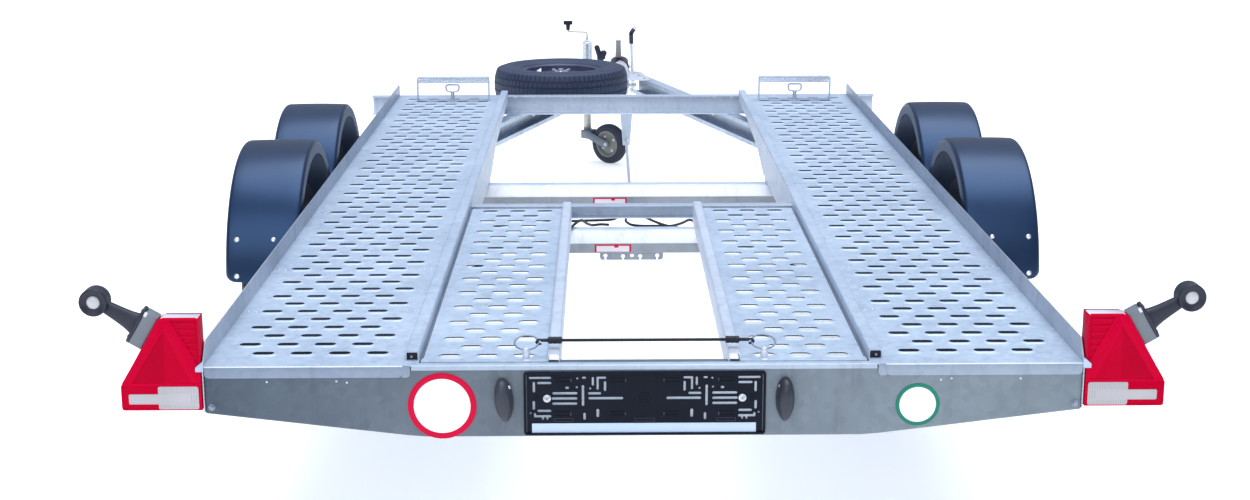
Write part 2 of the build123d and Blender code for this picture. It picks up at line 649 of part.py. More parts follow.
# ---------------------------------------------------------------- brake rod
rod_a, rod_b = (12.0, rod_y1, rod_z1), (12.0, rod_y2, rod_z2)
rod_dir = tuple(rod_b[i] - rod_a[i] for i in range(3))
rod_len = math.sqrt(sum(c * c for c in rod_dir))
with BuildPart() as brake_rod:
    with BuildSketch(Plane(origin=rod_a, z_dir=rod_dir)):
        Circle(6.0)
    extrude(amount=rod_len)
    with BuildSketch(Plane.XZ.offset(-Y(2572))):
        with Locations((12, Z(-217))):
            RectangleRounded(120.0, 26.0, 8.0)
    extrude(amount=8.0)
save(brake_rod.part, "brake_rod")

# ---------------------------------------------------------------- spare wheel on the drawbar
with BuildPart() as spare_tyre:
    with BuildSketch(Plane(origin=(spare_x, spare_y, spare_z), x_dir=(0, 0, 1), z_dir=(0, -1, 0))):
        with BuildLine():
            Polyline((64.2, 176.6), (60.2, 176.6), (56.2, 166.2), (-56.2, 166.2), (-60.2, 176.6), (-64.2, 176.6))
            Spline((-64.2, 176.6), (-hw + 1, 232), (-66, 291))
            Spline((-66, 291), (0, 302), (66, 291))
            Spline((66, 291), (hw - 1, 232), (64.2, 176.6))
        make_face()
    revolve(axis=Axis((spare_x, spare_y, spare_z), (0, 0, 1)))
save(spare_tyre.part, "spare_tyre")
with BuildPart() as spare_rim:
    with BuildSketch(Plane(origin=(spare_x, spare_y, spare_z), x_dir=(0, 0, 1), z_dir=(0, -1, 0))):
        with BuildLine():
            Polyline((-64, 176), (-61, 176), (-57, 165.7), (-30, 164), (-18, 150), (20, 150), (32, 164),
                     (57, 165.7), (61, 176), (64, 176), (64, 170), (58, 160), (36, 158), (30, 146), (16, 130),
                     (28, 96), (34, 70), (34, 28), (26, 28), (26, 66), (18, 96), (2, 132), (-6, 146),
                     (-24, 146), (-34, 159), (-58, 160), (-64, 168), close=True)
        make_face()
    revolve(axis=Axis((spare_x, spare_y, spare_z), (0, 0, 1)))
    with BuildSketch(Plane.XY.offset(spare_z - 4.0)):
        with Locations((spare_x, spare_y)):
            with PolarLocations(113.0, 12):
                SlotOverall(26.0, 15.0, rotation=90)
    extrude(amount=42.0, mode=Mode.SUBTRACT)
save(spare_rim.part, "spare_rim")
# cross bar between the drawbar's channels with a stud and a wing nut through the rim
with BuildPart() as spare_carrier:
    with BuildSketch(Plane.YZ.offset(-beam_in(spare_y + 20.0) + 0.3)):
        with Locations((spare_y, beam_top - 25.0)):
            Rectangle(40.0, 40.0)
            Rectangle(33.0, 33.0, mode=Mode.SUBTRACT)
    extrude(amount=2 * beam_in(spare_y + 20.0) - 0.6)
    with BuildSketch(Plane.XY.offset(beam_top - 5.0)):
        with Locations((spare_x, spare_y)):
            Circle(12.0)
    extrude(amount=spare_z + 34.2 - beam_top + 5.0 + 30.0)
    with BuildSketch(Plane.XY.offset(spare_z + 34.3)):
        with Locations((spare_x, spare_y)):
            Circle(36.0)
    extrude(amount=5.0)
save(spare_carrier.part, "spare_carrier")

# ---------------------------------------------------------------- lamps
lamp_pts = [(973.0, -104), (973.0, 101), (979, 107), (1052, 107), (1068, 98), (1154, -47), (1154, -96), (1146, -104)]
with BuildPart() as tail_lamps:
    for side in (-1.0, 1.0):
        with BuildSketch(Plane.XZ.offset(-Y(0.5))):
            with BuildLine():
                Polyline(*[(side * a, Z(b)) for a, b in lamp_pts], close=True)
            make_face()
        extrude(amount=-60.0)
save(tail_lamps.part, "tail_lamps")

# rubber arms with round marker lamps, on a block bolted to each lamp's slanted side
with BuildPart() as marker_lamps:
    for side in (-1.0, 1.0):
        with BuildSketch(Plane.XZ.offset(-Y(10))):
            with BuildLine():
                Polyline((side * 1063.3, Z(106.8)), (side * 1089.6, Z(122.4)), (side * 1131.4, Z(51.8)), (side * 1105.1, Z(36.3)),
                         close=True)
            make_face()
            with BuildLine():
                Polyline((side * 1093.2, Z(111.9)), (side * 1101.8, Z(117.0)), (side * 1132.4, Z(65.4)), (side * 1123.8, Z(60.3)),
                         close=True)
            make_face()
        extrude(amount=-38.0)
        with BuildSketch(Plane.XZ.offset(-Y(16))):
            with BuildLine():
                Polyline((side * 1100, Z(108)), (side * 1122, Z(71)), (side * 1185, Z(116)), (side * 1172, Z(143)), close=True)
            make_face()
        extrude(amount=-26.0)
        with BuildSketch(Plane.XZ.offset(-Y(4))):
            with Locations((side * 1202, Z(142))):
                Circle(31.5)
        extrude(amount=-44.0)
save(marker_lamps.part, "marker_lamps")

# ---------------------------------------------------------------- number plate holder and rubber buffers
with BuildPart() as plate_holder:
    with BuildSketch(Plane.XZ.offset(-Y(-10.5))):
        with Locations((0.5, Z(-88))):
            RectangleRounded(535.0, 146.0, 6.0)
    extrude(amount=-10.0)
save(plate_holder.part, "plate_holder")
with BuildPart() as buffers:
    for x in (-310.0, 310.0):
        with BuildSketch(Plane.XZ.offset(-Y(-0.3))):
            with Locations((x, Z(-79))):
                Ellipse(21.0, 50.0)
        with BuildSketch(Plane.XZ.offset(-Y(-24.0))):
            with Locations((x, Z(-79))):
                Ellipse(18.0, 44.0)
        with BuildSketch(Plane.XZ.offset(-Y(-38.0))):
            with Locations((x, Z(-79))):
                Ellipse(8.0, 24.0)
        loft()
save(buffers.part, "buffers")

# ---------------------------------------------------------------- wheel stops
# a hoop of flat bar across each track, held down by a ring pin
with BuildPart() as wheel_stops:
    for side, xa, xb in ((-1.0, -877.0, -571.0), (1.0, 573.0, 879.0)):
        with BuildSketch(Plane.XZ.offset(-Y(3850))):
            with BuildLine():
                Polyline((xa, Z(0.2)), (xa, Z(102)), (xb, Z(102)), (xb, Z(0.2)), (xb - 5, Z(0.2)), (xb - 5, Z(97)),
                         (xa + 5, Z(97)), (xa + 5, Z(0.2)), close=True)
            make_face()
        extrude(amount=25.0)
        with BuildSketch(Plane.XY.offset(Z(0.2))):
            with Locations(((xa + xb) / 2.0, Y(3838))):
                Rectangle(xb - xa - 10.0, 40.0)
        extrude(amount=4.0)
save(wheel_stops.part, "wheel_stops")

# ---------------------------------------------------------------- loading ramps
ramp_slots = []
for row in range(23):
    y = Y(78.5 + row * 69.6)
    xs = (269.0, 351.0, 435.0) if row % 2 == 0 else (310.0, 392.0)
    ramp_slots += [(x, y) for x in xs]
ramp_y1, ramp_y2 = Y(27), Y(1654)
ramp_x2 = 494.5
ramp_z = -3.0             # the stowed ramps lie a little lower than the track floors
for side, sname, pin_x in ((1.0, "right", 267.0), (-1.0, "left", -262.0)):
    with BuildPart() as ramp:
        with BuildSketch(Plane.XY.offset(Z(ramp_z - sheet_t))):
            with Locations((side * (187 + ramp_x2) / 2.0, (ramp_y1 + ramp_y2) / 2.0)):
                Rectangle(ramp_x2 - 187.0, ramp_y2 - ramp_y1)
            with Locations(*[(side * x, y) for x, y in ramp_slots]):
                SlotOverall(46.0, 25.0, mode=Mode.SUBTRACT)
            with Locations((pin_x, Y(46))):
                Circle(8.2, mode=Mode.SUBTRACT)
        extrude(amount=sheet_t)
        with BuildSketch(Plane.XZ.offset(-ramp_y1)):
            with BuildLine():
                Polyline((side * 187, Z(-5.5)), (side * 187, Z(18)), (side * 214, Z(18)), (side * 214, Z(-5.5)),
                         (side * 211.5, Z(-5.5)), (side * 211.5, Z(15.5)), (side * 189.5, Z(15.5)),
                         (side * 189.5, Z(-5.5)), close=True)
            make_face()
        extrude(amount=-(ramp_y2 - ramp_y1))
        with BuildSketch(Plane.XZ.offset(-Y(66))):
            with Locations((side * 188.25, Z(-25.0)), (side * (ramp_x2 - 1.25), Z(-25.0))):
                Rectangle(2.5, 41.0)
        extrude(amount=-(ramp_y2 - Y(66)))
    save(ramp.part, "ramp_" + sname)

# two locking pins, each with a ring leaning back from its top; a hook with a sleeve holds each end of the
# elastic cord between the rings
cord_y, cord_z = Y(71), Z(36)
cord_x1, cord_x2 = -183.0, 182.0
with BuildPart() as lock_pins:
    for x, end in ((-262.0, cord_x1), (267.0, cord_x2)):
        s = 1.0 if x < 0 else -1.0
        with BuildSketch(Plane.XY.offset(Z(-32.0))):
            with Locations((x, Y(46))):
                Circle(8.0)
        extrude(amount=58.0)
        with BuildSketch(Plane.XY.offset(Z(ramp_z + 0.2))):
            with Locations((x, Y(46))):
                Circle(12.0)
        extrude(amount=4.0)
        with Locations(Location((x, Y(71), Z(31)), (20, 0, 0))):
            Torus(26.7, 2.2)
        with Locations(Location((x + s * 28.0, cord_y, Z(33)), (90, 0, 0))):
            Torus(6.0, 2.2)
        with BuildSketch(Plane.YZ.offset(x + s * 32.0)):
            with Locations((cord_y, cord_z)):
                Circle(3.2)
        extrude(amount=end - s * 30.0 - (x + s * 32.0))
        with BuildSketch(Plane.YZ.offset(end)):
            with Locations((cord_y, cord_z)):
                Circle(8.0)
        extrude(amount=-s * 31.0)
save(lock_pins.part, "lock_pins")
with BuildPart() as lock_cord:
    with BuildSketch(Plane.YZ.offset(cord_x1)):
        with Locations((cord_y, cord_z)):
            Circle(3.5)
    extrude(amount=cord_x2 - cord_x1)
save(lock_cord.part, "lock_cord")

# ---------------------------------------------------------------- brake cables
# four sheathed cables from the rod's cross bar to the backing plates; two of them cross over the rear axle tube,
# and each passes under its torsion arm
plate_x = wheel_x - 105.8


def cable_path(points):
    """Radii of a smooth route: each arc is as large as its two runs allow."""
    vs = [Vector(*p) for p in points]
    radii = []
    for a, b, c in zip(vs, vs[1:], vs[2:]):
        turn = math.radians((b - a).get_angle(c - b))
        radii.append(0.45 * min((b - a).length, (c - b).length) / math.tan(turn / 2.0))
    return radii


wheel_y2 = wheel_y + axle_gap
cable_routes = [
    [(-70, Y(2316), Z(-203)), (-99, Y(2322), Z(-202)), (-128, Y(2290), Z(-199)), (-146, Y(2180), Z(-168)),
     (-160, Y(2050), Z(-126)), (-174, Y(1945), Z(-109)), (-199, Y(1845), Z(-112)), (-262, Y(1782), Z(-150)),
     (-400, Y(1765), Z(-196)), (-620, Y(1758), Z(-240)), (-860, Y(1757), Z(-286)), (-plate_x, Y(1757), Z(-292))],
    [(-36, Y(2563.5), Z(-217)), (-38, Y(2500), Z(-218)), (-60, Y(2425), Z(-210)), (-130, Y(2388), Z(-203)),
     (-230, Y(2378), Z(-204)), (-400, Y(2392), Z(-216)), (-600, Y(2424), Z(-244)), (-800, Y(2474), Z(-280)),
     (-910, Y(2492), Z(-292)), (-plate_x, Y(2494), Z(-294))],
    [(-10, Y(2563.5), Z(-217)), (-8, Y(2480), Z(-216)), (-12, Y(2380), Z(-205)), (6, Y(2304), Z(-201)),
     (42, Y(2282), Z(-200)), (90, Y(2288), Z(-201)), (142, Y(2258), Z(-196)), (176, Y(2160), Z(-164)),
     (195, Y(2040), Z(-124)), (208, Y(1945), Z(-109)), (226, Y(1845), Z(-112)), (282, Y(1782), Z(-150)),
     (420, Y(1765), Z(-196)), (630, Y(1758), Z(-240)), (860, Y(1757), Z(-286)), (plate_x, Y(1757), Z(-292))],
    [(46, Y(2563.5), Z(-217)), (58, Y(2500), Z(-216)), (84, Y(2420), Z(-212)), (130, Y(2352), Z(-216)),
     (210, Y(2318), Z(-220)), (330, Y(2330), Z(-226)), (520, Y(2396), Z(-244)), (720, Y(2456), Z(-272)),
     (890, Y(2490), Z(-291)), (plate_x, Y(2494), Z(-294))],
]
with BuildPart() as brake_cables:
    for route in cable_routes:
        with BuildLine():
            path = FilletPolyline(*route, radius=cable_path(route))
        with BuildSketch(Plane(origin=route[0], z_dir=[b - a for a, b in zip(route[0], route[1])])):
            Circle(4.5)
        sweep()
        print("cable", round(path.length), "smallest radius", round(min(cable_path(route))))
save(brake_cables.part, "brake_cables")
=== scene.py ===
import bpy, bmesh, json, math
import numpy as np
from mathutils import Vector, Matrix, geometry


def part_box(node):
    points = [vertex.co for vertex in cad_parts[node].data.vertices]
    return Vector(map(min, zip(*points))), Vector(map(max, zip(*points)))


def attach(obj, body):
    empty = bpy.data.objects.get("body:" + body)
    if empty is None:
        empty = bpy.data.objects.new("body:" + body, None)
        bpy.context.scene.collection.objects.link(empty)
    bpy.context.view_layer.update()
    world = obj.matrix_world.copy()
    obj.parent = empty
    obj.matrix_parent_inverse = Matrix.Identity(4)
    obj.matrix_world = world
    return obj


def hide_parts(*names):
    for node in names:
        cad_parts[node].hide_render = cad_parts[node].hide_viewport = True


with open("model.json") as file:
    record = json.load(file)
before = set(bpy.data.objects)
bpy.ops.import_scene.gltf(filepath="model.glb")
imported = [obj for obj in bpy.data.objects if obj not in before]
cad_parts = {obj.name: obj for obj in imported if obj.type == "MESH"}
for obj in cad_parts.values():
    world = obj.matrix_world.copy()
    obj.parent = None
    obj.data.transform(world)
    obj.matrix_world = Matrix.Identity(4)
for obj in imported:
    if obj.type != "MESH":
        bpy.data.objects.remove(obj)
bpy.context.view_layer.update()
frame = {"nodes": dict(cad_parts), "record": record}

# ---------------------------------------------------------------- anchors taken from the frame
Y0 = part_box("side_rail_left")[0].y            # rear edge of the deck
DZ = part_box("track_floor_left")[1].z          # top of the track floors


def Y(mm):
    return Y0 + mm / 1000.0


def Z(mm):
    return DZ + mm / 1000.0


# ---------------------------------------------------------------- camera
yaw, pitch, roll = 0.0122927, 0.2340750, -0.0012092
cam_data = bpy.data.cameras.new("camera")
cam = bpy.data.objects.new("camera", cam_data)
bpy.context.scene.collection.objects.link(cam)
bpy.context.scene.camera = cam
cam_data.sensor_fit = "HORIZONTAL"
cam_data.sensor_width = 36.0
cam_data.lens = 52.1475
cam_data.clip_start, cam_data.clip_end = 0.05, 200.0
c, s = math.cos(yaw), math.sin(yaw)
ct, st = math.cos(pitch), math.sin(pitch)
fwd = Vector((s * ct, c * ct, -st))
r0 = Vector((c, -s, 0.0))
u0 = Vector((s * st, c * st, ct))
cr, sr = math.cos(roll), math.sin(roll)
right = r0 * cr + u0 * sr
up = u0 * cr - r0 * sr
m = Matrix((right, up, -fwd)).transposed().to_4x4()
m.translation = Vector((-0.08973, Y0 - 3.81435, DZ + 1.16878))
cam.matrix_world = m

# ---------------------------------------------------------------- materials
M = {}


def new_mat(name):
    mat = bpy.data.materials.new(name)
    mat.use_nodes = True
    nt = mat.node_tree
    nt.nodes.clear()
    out = nt.nodes.new("ShaderNodeOutputMaterial")
    p = nt.nodes.new("ShaderNodeBsdfPrincipled")
    nt.links.new(p.outputs["BSDF"], out.inputs["Surface"])
    M[name] = mat
    return mat, nt, p


def node(nt, kind, **kw):
    n = nt.nodes.new(kind)
    for k, v in kw.items():
        if k in ("noise_dimensions", "feature", "distance", "blend_type", "data_type", "operation", "wave_type",
                 "bands_direction", "gradient_type", "interpolation_type", "voronoi_dimensions", "invert", "clamp"):
            setattr(n, k, v)
        else:
            n.inputs[k].default_value = v
    return n


def ramp(nt, fac, stops):
    n = nt.nodes.new("ShaderNodeValToRGB")
    els = n.color_ramp.elements
    while len(els) < len(stops):
        els.new(0.5)
    for e, (p, col) in zip(els, stops):
        e.position = p
        e.color = (*col, 1.0) if len(col) == 3 else col
    nt.links.new(fac, n.inputs["Fac"])
    return n


def objcoord(nt, scale=(1, 1, 1)):
    tc = nt.nodes.new("ShaderNodeTexCoord")
    mp = nt.nodes.new("ShaderNodeMapping")
    mp.inputs["Scale"].default_value = scale
    nt.links.new(tc.outputs["Object"], mp.inputs["Vector"])
    return mp.outputs["Vector"]


def painted_light_along(nt, axis, stops, last):
    """Multiply a colour by a ramp along one axis of the object: painted light and shade across a part."""
    tc_ = nt.nodes.new("ShaderNodeTexCoord")
    sp_ = nt.nodes.new("ShaderNodeSeparateXYZ")
    nt.links.new(tc_.outputs["Object"], sp_.inputs[0])
    mr_ = nt.nodes.new("ShaderNodeMapRange")
    mr_.inputs["From Min"].default_value = stops[0][0]
    mr_.inputs["From Max"].default_value = stops[-1][0]
    nt.links.new(sp_.outputs[axis], mr_.inputs["Value"])
    span = stops[-1][0] - stops[0][0]
    rp = ramp(nt, mr_.outputs["Result"], [((q - stops[0][0]) / span, c_) for q, c_ in stops])
    mx = node(nt, "ShaderNodeMix", data_type="RGBA", blend_type="MULTIPLY")
    mx.inputs[0].default_value = 1.0
    nt.links.new(last, mx.inputs[6])
    nt.links.new(rp.outputs["Color"], mx.inputs[7])
    return mx.outputs[2]


def galvanised(name, lo, hi, metallic=0.55, rough=(0.34, 0.56), spangle=55.0, bump=0.12, streak=True, stain=0.35, along=None):
    """Hot-dip zinc: crystals (voronoi cells) a shade apart, cloudy patches, faint runs and a satin gloss. With along,
    the colour is also multiplied by a ramp along one axis: painted light and shade.
    """
    mat, nt, p = new_mat(name)
    L = nt.links
    v = objcoord(nt)
    cells = node(nt, "ShaderNodeTexVoronoi", Scale=spangle, Randomness=1.0)
    L.new(v, cells.inputs["Vector"])
    cloud = node(nt, "ShaderNodeTexNoise", Scale=3.2, Detail=5.0, Roughness=0.55)
    L.new(v, cloud.inputs["Vector"])
    fine = node(nt, "ShaderNodeTexNoise", Scale=140.0, Detail=3.0, Roughness=0.6)
    L.new(v, fine.inputs["Vector"])
    a = node(nt, "ShaderNodeMix", data_type="RGBA")
    a.inputs[0].default_value = 0.28
    sep = nt.nodes.new("ShaderNodeSeparateColor")
    L.new(cells.outputs["Color"], sep.inputs["Color"])
    L.new(ramp(nt, cloud.outputs["Fac"], [(0.3, lo), (0.72, hi)]).outputs["Color"], a.inputs[6])
    L.new(ramp(nt, sep.outputs["Red"], [(0.0, lo), (1.0, hi)]).outputs["Color"], a.inputs[7])
    last = a.outputs[2]
    if streak:
        v2 = objcoord(nt, (9.0, 9.0, 1.3))
        st_ = node(nt, "ShaderNodeTexNoise", Scale=2.4, Detail=4.0, Roughness=0.7)
        L.new(v2, st_.inputs["Vector"])
        d = node(nt, "ShaderNodeMix", data_type="RGBA", blend_type="MULTIPLY")
        L.new(ramp(nt, st_.outputs["Fac"], [(0.33, (0.0, 0.0, 0.0)), (0.47, (1, 1, 1))]).outputs["Color"], d.inputs[7])
        d.inputs[0].default_value = stain * 0.35
        L.new(last, d.inputs[6])
        last = d.outputs[2]
    # along: the colour is multiplied by a ramp along one axis, painted light and shade
    if along:
        last = painted_light_along(nt, along[0], along[1], last)
    L.new(last, p.inputs["Base Color"])
    p.inputs["Metallic"].default_value = metallic
    mr = nt.nodes.new("ShaderNodeMapRange")
    mr.inputs["To Min"].default_value = rough[0]
    mr.inputs["To Max"].default_value = rough[1]
    L.new(sep.outputs["Green"], mr.inputs["Value"])
    L.new(mr.outputs["Result"], p.inputs["Roughness"])
    b = node(nt, "ShaderNodeBump", Strength=bump, Distance=0.0012)
    add = nt.nodes.new("ShaderNodeMath")
    add.operation = "ADD"
    L.new(cloud.outputs["Fac"], add.inputs[0])
    L.new(fine.outputs["Fac"], add.inputs[1])
    L.new(add.outputs[0], b.inputs["Height"])
    L.new(b.outputs["Normal"], p.inputs["Normal"])
    return mat


galvanised("galv_deck", (0.40, 0.49, 0.60), (0.54, 0.64, 0.75), metallic=0.30, rough=(0.36, 0.55), spangle=70.0)
galvanised("galv_frame", (0.38, 0.45, 0.54), (0.55, 0.63, 0.73), metallic=0.45, rough=(0.34, 0.52))
# side rails' webs: a darker copy of the zinc that grows lighter towards the rear end: painted shade and light
galvanised("galv_lip_painted_light", (0.26, 0.31, 0.39), (0.38, 0.44, 0.54), metallic=0.45, rough=(0.36, 0.52), along=("Y", [(-2.92, (1.55, 1.45, 1.30)), (-2.3, (1.30, 1.24, 1.16)), (-1.0, (1.0, 1.0, 1.0)), (1.1, (0.95, 0.95, 0.95))]))
# rear faces of the tracks' folds: a darker copy of the zinc, darker on the left and lighter on the right: painted shade
# and light
galvanised("fold_lip_painted_light", (0.22, 0.27, 0.34), (0.30, 0.36, 0.44), metallic=0.35, rough=(0.38, 0.52), along=("X", [(-0.97, (0.85, 0.88, 0.92)), (-0.5, (1.0, 1.0, 1.0)), (0.5, (1.15, 1.14, 1.1)), (0.97, (1.15, 1.14, 1.1))]))
# inner rails' inner faces: a lighter copy of the zinc: painted light
galvanised("inner_web_painted_light", (0.44, 0.51, 0.60), (0.56, 0.63, 0.73), metallic=0.25, rough=(0.36, 0.50), spangle=70.0)
# sill's rear face: a darker copy of the deck zinc: painted shade
galvanised("sill_face_painted_shade", (0.36, 0.42, 0.50), (0.46, 0.53, 0.62), metallic=0.30, rough=(0.36, 0.50), spangle=70.0)
# lighter copy of the deck zinc for the folds' bends and the ramps' ribs: painted highlight
galvanised("galv_rib_painted_highlight", (0.56, 0.63, 0.73), (0.66, 0.73, 0.83), metallic=0.30, rough=(0.34, 0.48), spangle=70.0)
# cross members: a lighter copy of the zinc, darkened just under the top flange: painted light and painted shadow
galvanised("front_web_painted_light", (0.58, 0.66, 0.76), (0.80, 0.88, 0.97), metallic=0.35, rough=(0.36, 0.52), spangle=90.0, along=("Z", [(0.440, (1.0, 1.0, 1.0)), (0.475, (0.90, 0.90, 0.91)), (0.505, (0.60, 0.62, 0.66)), (0.520, (0.66, 0.68, 0.72))]))
galvanised("galv_rail", (0.50, 0.57, 0.68), (0.64, 0.71, 0.82), metallic=0.40, rough=(0.30, 0.46))
# lighter zinc behind the number plate's slots: painted light on the beam face that the holder shades
galvanised("galv_backing_painted_light", (0.24, 0.28, 0.33), (0.42, 0.47, 0.53), metallic=0.45, rough=(0.34, 0.52), spangle=90.0)
galvanised("galv_carrier", (0.24, 0.27, 0.31), (0.36, 0.39, 0.44), metallic=0.5, rough=(0.3, 0.45))
# rear beam: a much darker copy of the zinc, darker on the left and lighter on the right: painted shade and light
galvanised("galv_beam_painted_light", (0.125, 0.155, 0.185), (0.195, 0.235, 0.275), metallic=0.35, rough=(0.38, 0.55), along=("X", [(-0.97, (0.40, 0.46, 0.51)), (-0.72, (0.60, 0.64, 0.68)), (-0.45, (0.80, 0.80, 0.80)), (0.3, (1.0, 1.0, 0.98)), (0.6, (1.22, 1.20, 1.14)), (0.97, (1.12, 1.11, 1.06))]))
# copies of the zinc for the axle tubes' facets: painted sky sheen on top, painted highlight on the upper sides, painted
# shade below
galvanised("tube_top_painted_sheen", (0.50, 0.57, 0.68), (0.60, 0.67, 0.78), metallic=0.3, rough=(0.38, 0.5), spangle=40.0, bump=0.05)
galvanised("tube_painted_highlight", (0.86, 0.88, 0.92), (0.96, 0.97, 0.99), metallic=0.05, rough=(0.30, 0.42), spangle=40.0, bump=0.05)
galvanised("tube_painted_shade", (0.22, 0.25, 0.28), (0.34, 0.37, 0.41), metallic=0.3, rough=(0.35, 0.5), spangle=40.0, bump=0.08)
galvanised("galv_tube", (0.50, 0.56, 0.62), (0.70, 0.75, 0.80), metallic=0.6, rough=(0.26, 0.40), spangle=40.0, bump=0.06)
galvanised("zinc", (0.58, 0.60, 0.62), (0.68, 0.70, 0.72), metallic=0.75, rough=(0.34, 0.42), spangle=60.0, bump=0.03, streak=False)
galvanised("pale_zinc", (0.62, 0.65, 0.72), (0.74, 0.77, 0.84), metallic=0.5, rough=(0.32, 0.42), spangle=50.0, bump=0.05, streak=False)
galvanised("bright", (0.78, 0.80, 0.84), (0.88, 0.90, 0.93), metallic=0.6, rough=(0.22, 0.30), spangle=60.0, bump=0.02, streak=False)
galvanised("steel_tube", (0.46, 0.54, 0.58), (0.60, 0.66, 0.68), metallic=0.7, rough=(0.24, 0.34), spangle=40.0, bump=0.03)
galvanised("pin_steel", (0.20, 0.24, 0.30), (0.30, 0.34, 0.40), metallic=0.6, rough=(0.26, 0.36), spangle=60.0, bump=0.03, streak=False)
galvanised("leg_olive", (0.42, 0.41, 0.36), (0.56, 0.55, 0.49), metallic=0.45, rough=(0.30, 0.42), streak=False, bump=0.05)
galvanised("fork_grey", (0.13, 0.15, 0.18), (0.20, 0.23, 0.27), metallic=0.5, rough=(0.34, 0.5), streak=False, bump=0.08)
# near-black for the slots' inner walls: painted shade
galvanised("slot_wall_painted_shade", (0.018, 0.024, 0.045), (0.030, 0.040, 0.070), metallic=0.1, rough=(0.5, 0.7), spangle=60.0, bump=0.03, streak=False)
galvanised("cast_grey", (0.10, 0.11, 0.12), (0.18, 0.19, 0.21), metallic=0.3, rough=(0.5, 0.7), streak=False, bump=0.5)


def moulded(name, lo, hi, rough=(0.35, 0.5), grain=420.0, bump=0.15, coat=0.0, spec=0.5, patch=6.0, tint=None):
    """Moulded rubber or plastic: fine grain, cloudy sheen, slight tone changes."""
    mat, nt, p = new_mat(name)
    L = nt.links
    v = objcoord(nt)
    cloud = node(nt, "ShaderNodeTexNoise", Scale=patch, Detail=4.0, Roughness=0.6)
    L.new(v, cloud.inputs["Vector"])
    fine = node(nt, "ShaderNodeTexNoise", Scale=grain, Detail=2.0, Roughness=0.5)
    L.new(v, fine.inputs["Vector"])
    L.new(ramp(nt, cloud.outputs["Fac"], [(0.3, lo), (0.7, hi)]).outputs["Color"], p.inputs["Base Color"])
    mr = nt.nodes.new("ShaderNodeMapRange")
    mr.inputs["To Min"].default_value = rough[0]
    mr.inputs["To Max"].default_value = rough[1]
    L.new(cloud.outputs["Fac"], mr.inputs["Value"])
    L.new(mr.outputs["Result"], p.inputs["Roughness"])
    b = node(nt, "ShaderNodeBump", Strength=bump, Distance=0.0005)
    L.new(fine.outputs["Fac"], b.inputs["Height"])
    L.new(b.outputs["Normal"], p.inputs["Normal"])
    p.inputs["Coat Weight"].default_value = coat
    p.inputs["Coat Roughness"].default_value = 0.08
    p.inputs["Specular IOR Level"].default_value = spec
    # a tinted specular paints a coloured sheen: painted reflection
    if tint:
        p.inputs["Specular Tint"].default_value = (*tint, 1.0)
    return mat


moulded("rubber", (0.010, 0.011, 0.015), (0.020, 0.022, 0.028), rough=(0.55, 0.75), bump=0.3, spec=0.3)
moulded("tyre", (0.018, 0.024, 0.038), (0.034, 0.042, 0.062), rough=(0.52, 0.72), bump=0.35, spec=0.35)
# dark red copy of the lens colour for the lamps' sides: painted shade
moulded("red_side_painted_shade", (0.16, 0.0, 0.014), (0.20, 0.0, 0.018), rough=(0.3, 0.4), bump=0.0, spec=0.15)
moulded("rim_jockey", (0.16, 0.17, 0.15), (0.26, 0.27, 0.24), rough=(0.24, 0.34), bump=0.05, coat=0.2)
# spare tyre: bluish black with a blue specular tint: painted sky sheen
moulded("tyre_spare_painted_sheen", (0.034, 0.044, 0.078), (0.050, 0.060, 0.098), rough=(0.50, 0.68), bump=0.25, spec=0.35, tint=(0.6, 0.75, 1.0))
# dark bluish copy for the spare's rim: painted shade and sky sheen in its hollow
moulded("spare_rim_painted_shade", (0.035, 0.040, 0.085), (0.075, 0.085, 0.150), rough=(0.36, 0.5), bump=0.1, spec=0.3)
# black plastic with a bluish base and a blue specular tint: painted sky sheen
moulded("guard", (0.004, 0.008, 0.020), (0.007, 0.013, 0.028), rough=(0.28, 0.40), bump=0.10, spec=0.90, tint=(0.26, 0.50, 1.0))
moulded("plate_black", (0.003, 0.005, 0.012), (0.006, 0.009, 0.018), rough=(0.3, 0.42), bump=0.15, spec=0.12)
moulded("grip_black", (0.008, 0.010, 0.022), (0.018, 0.022, 0.042), rough=(0.30, 0.45), spec=0.4)
moulded("grip_slate", (0.020, 0.028, 0.050), (0.040, 0.050, 0.080), rough=(0.45, 0.6), spec=0.35)
moulded("handle_grey", (0.20, 0.21, 0.23), (0.30, 0.31, 0.33), rough=(0.40, 0.55), bump=0.3, spec=0.4)
moulded("cream_rod", (0.52, 0.51, 0.48), (0.64, 0.63, 0.60), rough=(0.30, 0.40), bump=0.03, spec=0.5)
moulded("coat_black", (0.006, 0.008, 0.012), (0.014, 0.018, 0.024), rough=(0.35, 0.5), bump=0.4, spec=0.3)
moulded("drum", (0.020, 0.020, 0.022), (0.05, 0.046, 0.042), rough=(0.6, 0.8), bump=0.8, grain=160.0, spec=0.3)
moulded("rim", (0.46, 0.47, 0.49), (0.58, 0.59, 0.61), rough=(0.26, 0.36), bump=0.04, coat=0.3)
moulded("block_grey", (0.145, 0.16, 0.18), (0.19, 0.21, 0.235), rough=(0.4, 0.55), spec=0.4)
moulded("red_lens", (0.50, 0.0, 0.022), (0.58, 0.0, 0.030), rough=(0.22, 0.30), bump=0.0, coat=0.0, spec=0.03)
